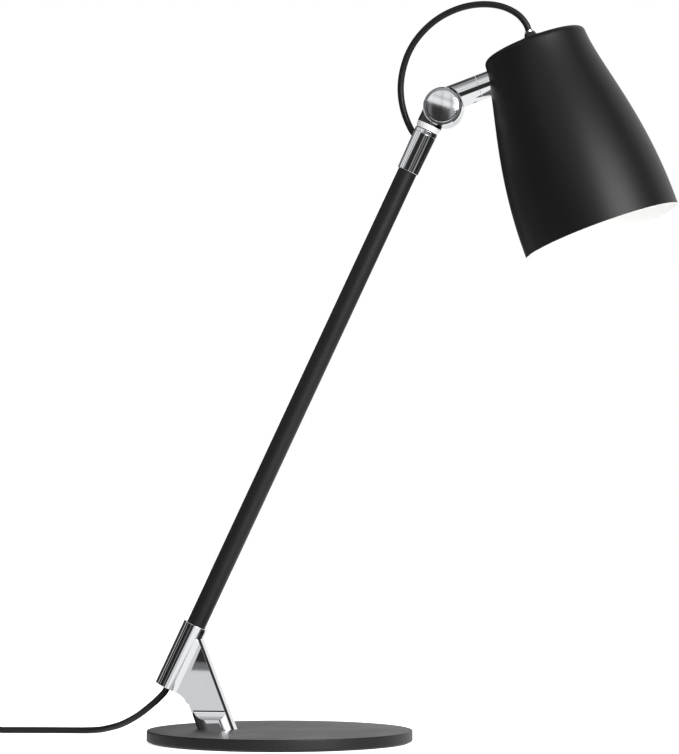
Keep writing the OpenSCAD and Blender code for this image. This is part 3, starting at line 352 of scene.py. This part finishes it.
upright = Matrix.Identity(4)
base = turned("base", [(0, 1), (110, 1, 1.2), (110, 10, 0.9), (0, 10)], upright, sides=256)
fit_out(base, "stand", powder_black, "base_black", "base_plate")
pad_foam = finish("pad_foam", (0.018, 0.018, 0.018), (0.035, 0.035, 0.035), (0.8, 0.95),
                  patch=0.006, grain=0.0012, bump=0.5)
keep(pad_foam, "base_pad")
zinc = finish("zinc", (0.42, 0.43, 0.45), (0.58, 0.59, 0.6), (0.24, 0.38), patch=0.006,
              grain=0.0004, bump=0.15, Metallic=1)
keep(zinc, "bracket_screws", "switch_screws")

# Bracket. Milled from one block of aluminium and polished bright: a foot with round ends, a fin
# with a pocket in each side that runs out in coves, and a collar that grips the arm.
polished = finish("polished", (0.76, 0.77, 0.79), (0.82, 0.83, 0.85), (0.015, 0.03), patch=0.02,
                  grain=0.0012, bump=0.001, Metallic=1)
side_place = Matrix.Rotation(math.pi / 2, 4, "X")
fin_lean = math.radians(21)
foot_front, foot_back, foot_z, foot_r = -0.0359, -0.0692, 0.01, 0.0105
web_half, cove_steps = 0.0075, 32
foot_cove_r, foot_cove_rise, collar_cove_r, collar_cove_x = 0.012, 0.0159, 0.0208, 0.0136
cut_reach, cut_top = 0.06, 0.12
groove_r, groove_x, groove_y, arm_bore_r = 0.0005, 0.0052, 0.00945, 0.0092
fin_x, fin_rise = 0.005, 0.0544


def on_side(x, s):
    """Point of the side view at x beside the arm's axis and s along it."""
    p = arm_place @ Vector((x, 0, s))
    return p.x, p.z


def block(outline, place, low, high):
    """Straight block with the outline in its local XY."""
    n = len(outline)
    points = [place @ Vector((x, y, z)) for z in (low, high) for x, y in outline]
    faces = [(i, (i + 1) % n, (i + 1) % n + n, i + n) for i in range(n)]
    faces += [tuple(range(n)), tuple(range(n, 2 * n))]
    return new_piece("block", points, faces)


def circle(r, x=0, y=0, start=0.0, turn=math.tau, steps=96):
    """Points of an arc, without its last one when it closes."""
    count = steps if turn == math.tau else steps + 1
    return [(x + r * math.cos(start + turn * i / steps), y + r * math.sin(start + turn * i / steps))
            for i in range(count)]


def worked(piece, tool, how="DIFFERENCE"):
    """Cut, join or trim a piece with a tool that is then thrown away."""
    for after in piece.modifiers:
        after.show_viewport = False
    step = piece.modifiers.new("work", "BOOLEAN")
    step.operation, step.solver, step.object = how, "EXACT", tool
    seen = bpy.context.evaluated_depsgraph_get()
    mesh = bpy.data.meshes.new_from_object(piece.evaluated_get(seen))
    piece.modifiers.remove(step)
    piece.data = mesh
    mesh.set_sharp_from_angle(angle=math.radians(28))
    for after in piece.modifiers:
        after.show_viewport = True
    bpy.data.objects.remove(tool)
    return piece


def cove(side, r, level):
    """Section of the mill's cut: the web's flat, a cove of radius r and the open outside."""
    arc = circle(r, web_half + r, level, math.pi, math.pi / 2, cove_steps)
    far = web_half + cut_reach
    open_side = [(far, level - r), (far, cut_top), (web_half, cut_top)]
    return [(side * y, z) for y, z in [*arc, *open_side]]


def pocket(side):
    """What the mill takes from one side of the fin."""
    across = Matrix(((0, 0, 1, 0), (1, 0, 0, 0), (0, 1, 0, 0), (0, 0, 0, 1)))
    over_foot = block(cove(side, foot_cove_r, foot_z + foot_cove_rise), across, -0.13, 0)
    beside_collar = block([(x, y) for y, x in cove(side, collar_cove_r, collar_cove_x)],
                          arm_place, -0.06, 0.12)
    return worked(over_foot, beside_collar, "INTERSECT")


straight = (foot_front - foot_back) * math.cos(fin_lean) - 2 * foot_r
column_place = (Matrix.Translation((foot_front, 0, foot_z)) @ Matrix.Rotation(-fin_lean, 4, "Y")
                @ Matrix.Translation((-foot_r, 0, 0)))
column = [*circle(foot_r, 0, 0, -math.pi / 2, math.pi, 48),
          *circle(foot_r, -straight, 0, math.pi / 2, math.pi, 48)]
fin = block(column, column_place, -0.03, 0.09)
back_meets, throat_from, throat_r = 0.0173733, 0.0109656, 0.016
fin_top = on_side(fin_x, fin_rise)
fin_front = foot_front - (fin_top[1] - foot_z) * math.tan(fin_lean)
outline = [(foot_front, foot_z), (fin_front, fin_top[1]), fin_top, on_side(fin_x, 0),
           on_side(back_meets, 0), (foot_back, foot_z)]
worked(fin, block(outline, side_place, -0.021, 0.021), "INTERSECT")
throat = on_side(throat_from, -throat_r)
throat_arc = circle(throat_r, *throat, math.pi / 2 - arm_lean, fin_lean - math.pi / 2 + arm_lean,
                    cove_steps)
web = [on_side(fin_x, 0), *throat_arc, (throat_arc[-1][0] + 0.005, throat_arc[-1][1]),
       on_side(back_meets, 0.018), on_side(fin_x, 0.035)]
worked(fin, block(web, side_place, -foot_r, foot_r), "UNION")
for side in (1, -1):
    worked(fin, pocket(side))
for side in (1, -1):
    groove = circle(groove_r, groove_x, side * groove_y, steps=16)
    worked(fin, block(groove, arm_place, -0.01, 0.06))
worked(fin, block(circle(arm_bore_r), arm_place, -0.01, 0.08))
fin.name = "bracket_fin"


def soft_edges(piece, width, segments, angle):
    """Round every edge that turns by more than an angle in degrees."""
    edge = piece.modifiers.new("soft edges", "BEVEL")
    edge.width, edge.segments, edge.limit_method = width, segments, "ANGLE"
    edge.angle_limit = math.radians(angle)


soft_edges(fin, 0.0002, 2, 35)
even_shading(fin)
fit_out(fin, "stand", polished, "polished", "foot_bracket")
collar = turned("bracket_collar",
                [(4.45, 0), (10.6, 0, 0.4), (10.6, 57.4, 0.4), (8.05, 57.4, 0.15), (8.05, 7),
                 (6.05, 7), (6.05, 1.5), (4.45, 1.5)], arm_place)
grub_up, grub_round, grub_bore_r = 0.0541, math.radians(-36), 0.00255
grub_place = (arm_place @ Matrix.Translation((0, 0, grub_up))
              @ Matrix.Rotation(grub_round, 4, "Z") @ Matrix.Rotation(math.pi / 2, 4, "Y"))
worked(collar, block(circle(grub_bore_r), grub_place, 0, 0.02))
fit_out(collar, "stand", polished, "polished")
black_steel = finish("black_steel", (0.02, 0.02, 0.021), (0.035, 0.035, 0.036), (0.3, 0.42),
                     patch=0.004, grain=0.0003, Metallic=0.6)
keep(black_steel, "collar_grub_screw", "swivel_keeper")
rubber = finish("rubber", (0.008, 0.008, 0.008), (0.014, 0.014, 0.014), (0.55, 0.7), patch=0.004,
                grain=0.0004)
keep(rubber, "cord_bush", "sleeve_grommet")

# Arm. A steel tube, 16 mm thick and nearly half a metre long, powder coated like the base. It
# is clamped in the collar below and pressed into the sleeve above.
tube = turned("arm", [(6.8, 7), (8, 7), (8, 490), (6.8, 490)], arm_place)
fit_out(tube, "stand", powder_black, "tube_black", "arm_tube")

# Sleeve. Turned and polished, slightly wider towards its top, with a rubber grommet where the
# cord leaves it. A grooved ring and a black washer part it from the neck of the knuckle.
sleeve = turned("sleeve", [(8.05, 473.2), (9.15, 473.2, 0.4), (9.8, 506.6, 0.2), (6.05, 506.6),
                           (6.05, 503), (6.8, 503), (6.8, 490), (8.05, 490)], arm_place)
exit_round, exit_lean, exit_bore_r = math.radians(120), math.radians(56), 0.00445
exit_turn = Matrix.Rotation(exit_round, 4, "Z") @ Matrix.Rotation(exit_lean, 4, "Y")
exit_place = arm_place @ Matrix.Translation(arm_place.inverted() @ exit_at) @ exit_turn
worked(sleeve, block(circle(exit_bore_r), exit_place, -0.0065, 0.0064))
fit_out(sleeve, "stand", polished, "polished", "arm_sleeve")
ring = turned("ring", [(6.05, 506.6), (9.3, 506.6), (9.3, 507), (9.8, 507, 0.15),
                       (9.8, 510, 0.2), (6.05, 510)], arm_place)
turned_bright = finish("turned_bright", (0.78, 0.79, 0.81), (0.84, 0.85, 0.87), (0.13, 0.16),
                       patch=0.01, grain=0.0006, bump=0.01, Metallic=1, Anisotropic=0.3)
fit_out(ring, "stand", turned_bright, "polished", "sleeve_ring")
keep(rubber, "neck_washer")

# Knuckle. Two polished half laps on one bolt, with a fibre washer between them that holds the
# head where it is put. Low domed caps, finely turned, close the bolt's two ends.
pivot_place = Matrix.Translation(pivot) @ Matrix.Rotation(math.pi / 2, 4, "X")
dome_r, dome_steps, disc_out = 12.6, 24, 0.011
for name, rise, body, turn in (("front", 1.6, "stand", 0), ("rear", 0.8, "knuckle", math.pi)):
    dome = [(dome_r * t, 1 + rise * (1 - t * t))
            for t in (1 - i / dome_steps for i in range(1, dome_steps + 1))]
    seat = Matrix.Rotation(turn, 4, "X") @ Matrix.Translation((0, 0, disc_out))
    cap = turned(name + "_dome", [(0, 0), (13.5, 0), (13.5, 1, 0.7), (dome_r, 1), *dome],
                 pivot_place @ seat)
    fit_out(cap, body, turned_bright, "polished", name + "_cap")
    cap.data.materials.append(polished)
    for face in cap.data.polygons:
        if face.center.xy.length > dome_r / 1000:
            face.material_index = 1
dark_bright = finish("dark_bright", (0.05, 0.05, 0.052), (0.09, 0.09, 0.092), (0.2, 0.3),
                     patch=0.004, grain=0.0005, bump=0.04, Metallic=1)
neck = turned("lower_neck", [(0, 515.4), (10.3, 515.4), (10.5, 515.6), (10.5, 533.4), (0, 533.4)],
              arm_place)
disc_cut_r = 0.017
worked(neck, block(circle(disc_cut_r), pivot_place, -0.021, 0.0003))
fit_out(neck, "stand", dark_bright, "polished")
satin_bright = finish("satin_bright", (0.6, 0.6, 0.61), (0.68, 0.68, 0.69), (0.42, 0.48),
                      patch=0.006, grain=0.0004, bump=0.02, Metallic=0.3)
band_ring = turned("neck_band", [(0, 510.6), (9.25, 510.6, 0.2), (9.9, 512.4), (10.2, 513.8),
                                 (10.3, 515.4), (0, 515.4)], arm_place)
fit_out(band_ring, "stand", satin_bright, "polished")
front_disc = turned("front_disc", [(4.2, 0.3), (15.9, 0.3), (16.1, 0.5), (16.1, 10.2), (15.3, 11),
                                   (13.4, 11), (13.4, 10.6), (4.2, 10.6)], pivot_place)
fit_out(front_disc, "stand", polished, "polished", "knuckle_lower")
keep(polished, "knuckle_upper", "stem_collar")
keep(zinc, "pivot_bolt", "spring_washer", "pivot_nut", "swivel_spindle", "saddle_plate", "stem_nut")
fibre = finish("fibre", (0.09, 0.05, 0.02), (0.16, 0.09, 0.04), (0.6, 0.75), patch=0.003,
               grain=0.0003, bump=0.3)
keep(fibre, "friction_washer")

# Shade. A bell spun from one millimetre of aluminium, matt black outside and gloss white
# inside, where the white runs on round the rim.
shade_black = finish("shade_black", (0.003, 0.003, 0.0032), (0.0038, 0.0038, 0.004),
                     (0.4, 0.44), patch=0.08, grain=0.0006, bump=0.08, Specular_IOR_Level=0.25)
inside_white = finish("inside_white", (0.75, 0.75, 0.74), (0.81, 0.81, 0.8), (0.4, 0.5),
                      patch=0.05, grain=0.0006, bump=0.1)
crown, corner, mouth, length = 43.6, 4.5, 65.9, 165.9
corner_turn, corner_steps, side_steps = 80, 8, 64
hole_r, sheet_t, rim_soft, shade_sides = 5.05, 1, 0.05, 256
bell = [(crown, corner), (crown + 1.9, corner + 32), (mouth, 84), (mouth, length - 6)]


def bell_side(d):
    """Side of the shade, drawn in by d, from its flat top to its mouth."""
    side = []
    for i in range(corner_steps + 1):
        w = math.radians(90 - corner_turn * i / corner_steps)
        r = corner - d
        side.append((crown - corner + r * math.cos(w), r * math.sin(w) - corner))
    for i in range(side_steps + 1):
        t = i / side_steps
        p = [(1 - t) ** 3 * a + 3 * t * (1 - t) ** 2 * b + 3 * t * t * (1 - t) * c + t ** 3 * e
             for a, b, c, e in zip(*bell)]
        side.append((p[0] - d, -p[1]))
    return side


outside = [(hole_r, 0), *bell_side(0), (mouth - rim_soft, -length)]
inside = [(mouth - sheet_t + rim_soft, -length), *reversed(bell_side(sheet_t)),
          (hole_r, -sheet_t)]
shade = turned("shade", outside + inside, shade_place, sides=shade_sides)
shade.data.materials.append(shade_black)
shade.data.materials.append(inside_white)
first_white = (len(outside) - 1) * shade_sides
for face in shade.data.polygons[first_white:first_white + len(inside) * shade_sides]:
    face.material_index = 1
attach(shade, "head")
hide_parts("shade_shell")
crown_cap = turned("crown_cap", [(0, 0), (16.5, 0), (16.5, 3, 0.5), (13, 3), (12.5, 5.5, 0.5),
                                 (0, 5.5)], shade_place)
fit_out(crown_cap, "head", shade_black, "shade_black", "top_cap")
black_plastic = finish("black_plastic", (0.008, 0.008, 0.008), (0.013, 0.013, 0.013),
                       (0.32, 0.42), patch=0.01, grain=0.0005, bump=0.15)
keep(black_plastic, "cord_gland")
keep(polished, "gland_ring")

# Lampholder and lamp. A black moulded holder hangs from a brass nipple, with a ring under the
# shade's top. An opal lamp is screwed into it.
brass = finish("brass", (0.62, 0.45, 0.18), (0.74, 0.56, 0.26), (0.22, 0.34), patch=0.005,
               grain=0.0004, Metallic=1)
keep(brass, "holder_nipple", "lampholder_shell", "lampholder_contact")
keep(black_plastic, "lampholder_body")
grip_ring = turned("grip_ring", [(18.2, -36), (21, -36, 0.8), (21, -30, 0.8), (18.2, -30)],
                   shade_place, sides=288)
ribs, rib_depth, ribs_from = 36, 0.03, 0.0195
for point in grip_ring.data.vertices:
    if point.co.xy.length > ribs_from:
        rib = 0.5 + 0.5 * math.cos(ribs * math.atan2(point.co.y, point.co.x))
        point.co.x, point.co.y = (1 - rib_depth * rib) * point.co.xy
fit_out(grip_ring, "head", black_plastic, "black_plastic", "lampholder_ring")
keep(zinc, "bulb_cap")
bulb_white = finish("bulb_white", (0.8, 0.8, 0.78), (0.86, 0.86, 0.84), (0.3, 0.4), patch=0.01)
keep(bulb_white, "bulb_body")
opal = finish("opal", (0.78, 0.77, 0.74), (0.84, 0.83, 0.81), (0.12, 0.18), patch=0.02, bump=0.02,
              Emission_Color=(1, 0.97, 0.92, 1), Emission_Strength=0.5)
keep(opal, "bulb_globe")

# Switch and plug. Black moulded pieces on the cord: a two-part switch with a rocker, grooved
# reliefs, and a flat plug with two round pins. Their edges are soft, as a mould leaves them.
for name, soft in (("switch_bottom", 0.5), ("switch_top", 0.5), ("switch_rocker", 0.3),
                   ("plug_body", 0.9)):
    keep(black_plastic, name)
    join = cad[name].modifiers.new("joined points", "WELD")
    join.merge_threshold = 0.00002
    soft_edges(cad[name], soft / 1000, 3, 25)
    even_shading(cad[name])
keep(rubber, "switch_reliefs", "plug_relief")
pin_metal = finish("pin_metal", (0.6, 0.59, 0.55), (0.7, 0.69, 0.65), (0.18, 0.3), patch=0.004,
                   Metallic=1)
keep(pin_metal, "plug_pins")

# Tie. A plastic-coated wire strap round the coil's turns, its two ends twisted together on top.
strap_low, strap_high, strap_t, strap_half = (17.3, 0), (43.1, 12.6), 0.6, 3
bend, strap_at = 2.6, coil_middle * 1000
outer, inner = [], []
for x, z, start in ((strap_high[0] - bend, strap_high[1] - bend, 0),
                    (strap_low[0] + bend, strap_high[1] - bend, 90),
                    (strap_low[0] + bend, strap_low[1] + bend, 180),
                    (strap_high[0] - bend, strap_low[1] + bend, 270)):
    for i in range(9):
        w = math.radians(start + 90 * i / 8)
        outer.append((x + bend * math.cos(w), z + bend * math.sin(w)))
        inner.append((x + (bend - strap_t) * math.cos(w), z + (bend - strap_t) * math.sin(w)))
strap_points, strap_faces = [], []
for i, (out, into) in enumerate(zip(outer, inner)):
    n = (i + 1) % len(outer)
    for (x, z), y in ((out, -strap_half), (out, strap_half), (into, strap_half),
                      (into, -strap_half)):
        strap_points.append(Vector((strap_at.x + x, strap_at.y + y, z)) / 1000)
    for k in range(4):
        strap_faces.append((4 * i + k, 4 * i + (k + 1) % 4, 4 * n + (k + 1) % 4, 4 * n + k))
strap = new_piece("tie_strap", strap_points, strap_faces)
strap.data.set_sharp_from_angle(angle=math.radians(40))
soft_edges(strap, 0.00018, 2, 30)
fit_out(strap, "stand", black_plastic, "black_plastic", "coil_tie")
tie = [strap]
twists, twist_steps, twist_r, wire_r = 2.5, 60, 0.75, 0.0008
twist_from, twist_length, twist_z = 25.7, 9, 13.9
for name, start in (("tie_end_a", 0.0), ("tie_end_b", math.pi)):
    line = []
    for i in range(twist_steps + 1):
        w = start + math.tau * twists * i / twist_steps
        along = strap_at.x + twist_from + twist_length * i / twist_steps
        line.append(Vector((along, strap_at.y + twist_r * math.cos(w),
                            twist_z + twist_r * math.sin(w))) / 1000)
    tie.append(flex(name, line, sides=12, r=wire_r))
    fit_out(tie[-1], "stand", black_plastic, "black_plastic")

# Studio. A plain pale floor, a wide soft key light from the right and a fill from above.
# Bright metal sees only the near part of the floor, and past it the room.
floor_white = finish("floor_white", (0.9, 0.9, 0.9), (0.92, 0.92, 0.92), (0.9, 0.95), patch=1,
                     bump=0, Emission_Color=(1, 1, 1, 1), Emission_Strength=0.75)
floor_turn = Matrix.Rotation(math.radians(9), 4, "Z")


def sheet(name, left, right, front, rear, material):
    """Flat piece of floor, turned to face the camera."""
    corners = [floor_turn @ Vector((x, y, 0)) for x, y in ((left, front), (right, front),
                                                           (right, rear), (left, rear))]
    piece = new_piece(name, corners, [(0, 1, 2, 3)])
    piece.data.materials.append(material)
    return piece


def glowing(name, level):
    """Floor that the camera sees white and bright metal sees at a given level."""
    material = floor_white.copy()
    material.name = name
    tree = material.node_tree
    glow = tree.nodes.new("ShaderNodeEmission")
    glow.inputs["Color"].default_value = (level, level, level, 1)
    seen = tree.nodes.new("ShaderNodeLightPath")
    either = tree.nodes.new("ShaderNodeMixShader")
    tree.links.new(seen.outputs["Is Glossy Ray"], either.inputs[0])
    tree.links.new(tree.nodes["Principled BSDF"].outputs[0], either.inputs[1])
    tree.links.new(glow.outputs[0], either.inputs[2])
    tree.links.new(either.outputs[0], tree.nodes["Material Output"].inputs["Surface"])
    return material


near_front, edge_front, near_side, near_rear = -1.01, -1.185, 0.9, 1.2
near_split, far_side, far_front, far_rear = -0.1, 6, -5, 7
lamp_middle = Vector((0.05, 0, 0.35))
for name, left, right, front, rear, level in (
        ("near_floor", -near_side, near_split, near_front, near_rear, 0.74),
        ("bright_floor", near_split, near_side, near_front, near_rear, 1.05),
        ("floor_edge", -near_side, near_side, edge_front, near_front, 0.18)):
    sheet(name, left, right, front, rear, glowing(name, level))
for name, left, right, front, rear in (
        ("front_floor", -far_side, far_side, far_front, edge_front),
        ("left_floor", -far_side, -near_side, edge_front, near_rear),
        ("right_floor", near_side, far_side, edge_front, near_rear),
        ("rear_floor", -far_side, far_side, near_rear, far_rear)):
    far = sheet(name, left, right, front, rear, floor_white)
    far.visible_glossy = False
for name, place, size, power in (("key", (1.6, -1.7, 1.05), (1.5, 1.2), 62),
                                 ("top", (0.2, 0.2, 2.2), (1.6, 1.6), 20)):
    lamp = bpy.data.lights.new(name, "AREA")
    lamp.shape, lamp.size, lamp.size_y, lamp.energy = "RECTANGLE", *size, power
    light = bpy.data.objects.new(name, lamp)
    light.location = place
    aim = lamp_middle - light.location
    light.rotation_euler = aim.to_track_quat("-Z", "Y").to_euler()
    light.visible_camera = False
    light.visible_glossy = name == "key"
    bpy.context.scene.collection.objects.link(light)

# Room. Grey levels by direction, in degrees: round the lamp, with 0 to its front and its right
# positive, and up from the horizon. The camera itself sees plain white.
world = bpy.data.worlds.new("studio")
bpy.context.scene.world = world
world.use_nodes = True
room = world.node_tree
where = room.nodes.new("ShaderNodeTexCoord")
split = room.nodes.new("ShaderNodeSeparateXYZ")
room.links.new(where.outputs["Generated"], split.inputs[0])


def maths(how, *values):
    """Math node over sockets and numbers."""
    node = room.nodes.new("ShaderNodeMath")
    node.operation = how
    for socket, value in zip(node.inputs, values):
        if isinstance(value, float):
            socket.default_value = value
        else:
            room.links.new(value, socket)
    return node.outputs[0]


def band(value, reach, stops):
    """Grey ramp from pairs of place and level, for values from -reach to reach."""
    spread = room.nodes.new("ShaderNodeMapRange")
    spread.inputs["From Min"].default_value = -reach
    spread.inputs["From Max"].default_value = reach
    room.links.new(value, spread.inputs["Value"])
    ramp = room.nodes.new("ShaderNodeValToRGB")
    points = ramp.color_ramp.elements
    for i, (place, level) in enumerate(stops):
        at = (place + reach) / (2 * reach)
        point = points[i] if i < 2 else points.new(at)
        point.position, point.color = at, (level, level, level, 1)
    room.links.new(spread.outputs[0], ramp.inputs[0])
    return ramp.outputs[0]


def mixed(how, share, first, second):
    """Colour mix node; its second colour is white where none is given."""
    node = room.nodes.new("ShaderNodeMix")
    node.data_type, node.blend_type = "RGBA", how
    room.links.new(share, node.inputs[0])
    room.links.new(first, node.inputs[6])
    if second:
        room.links.new(second, node.inputs[7])
    else:
        node.inputs[7].default_value = (1, 1, 1, 1)
    return node.outputs[2]


to_right, to_rear, up = split.outputs
in_degrees, tilt = 180 / math.pi, 20.0
around = maths("MULTIPLY", maths("ARCTAN2", to_right, maths("MULTIPLY", to_rear, -1.0)),
               in_degrees)
height = maths("MULTIPLY", maths("ARCSINE", up), in_degrees)
tilted = maths("MULTIPLY_ADD", to_right, tilt, height)
# On the camera's side, a dark room with a bright band and ceiling, whose horizon is tilted.
ahead = band(tilted, 90, [(-90, 0.03), (5.2, 0.03), (6.4, 1), (17.5, 1), (18.5, 0.6), (23, 0.6),
                          (24, 0.9), (34, 0.85), (45, 0.6), (67, 0.36), (90, 0.33)])
# Light gaps in its dark low part.
gaps = band(around, 180, [(-75, 0.03), (-72, 0.3), (-64, 0.3), (-62, 0.03), (-34, 0.03),
                          (-33, 0.2), (-28, 0.2), (-27, 0.03), (6, 0.03), (9, 0.32), (17, 0.3),
                          (19, 0.06), (27, 0.05), (30, 0.22), (36, 0.24), (38, 0.05), (54, 0.04),
                          (58, 0.16), (90, 0.12)])
below = band(tilted, 90, [(3, 1), (5, 0)])
# Behind the lamp, a white wall up to a dark ceiling edge, with a dark foot on its right.
behind = band(height, 90, [(-90, 0.5), (-10, 0.8), (0, 1), (50, 1), (53, 0.1), (60, 0.1),
                           (63, 0.8), (90, 0.33)])
foot = band(around, 180, [(74, 1), (82, 0.04), (150, 0.04), (158, 1)])
under = band(height, 90, [(-3, 1), (0, 0)])
# Share of the wall behind in each direction.
wall = band(around, 180, [(-180, 1), (-160, 1), (-155, 0), (-130, 0), (-127, 1), (-121, 1),
                          (-118, 0), (-100, 0), (-98, 0.8), (-90, 0.8), (-88, 0), (50, 0),
                          (75, 0.8), (110, 1), (180, 1)])
# Dark flags that stand round the lamp above the horizon.
flags = band(around, 180, [(-170, 1), (-165, 0.1), (-155, 0.1), (-150, 0.15), (-118, 0.15),
                           (-112, 0.3), (-95, 0.4), (-94, 1), (-80, 1), (-78, 0.15), (-71, 0.2),
                           (-69, 1), (-58, 1), (-56, 0.3), (-48, 0.3), (-46, 1), (-10.5, 1),
                           (-9, 0.7), (-6, 0.7), (-4.5, 1), (9, 1), (10, 0.45), (13, 0.45),
                           (14, 1), (44, 1), (46, 0.3), (49, 0.3), (51, 1), (76, 1), (79, 0.04),
                           (110, 0.04), (113, 1)])
above = band(height, 90, [(0, 0), (2, 1)])
dark_side = mixed("LIGHTEN", below, ahead, gaps)
white_side = mixed("MULTIPLY", under, behind, foot)
all_round = mixed("MULTIPLY", above, mixed("MIX", wall, dark_side, white_side), flags)
seen_by = room.nodes.new("ShaderNodeLightPath")
shown = mixed("MIX", seen_by.outputs["Is Camera Ray"], all_round, None)
room.links.new(shown, room.nodes["Background"].inputs["Color"])
bpy.context.scene.view_settings.view_transform = "Standard"
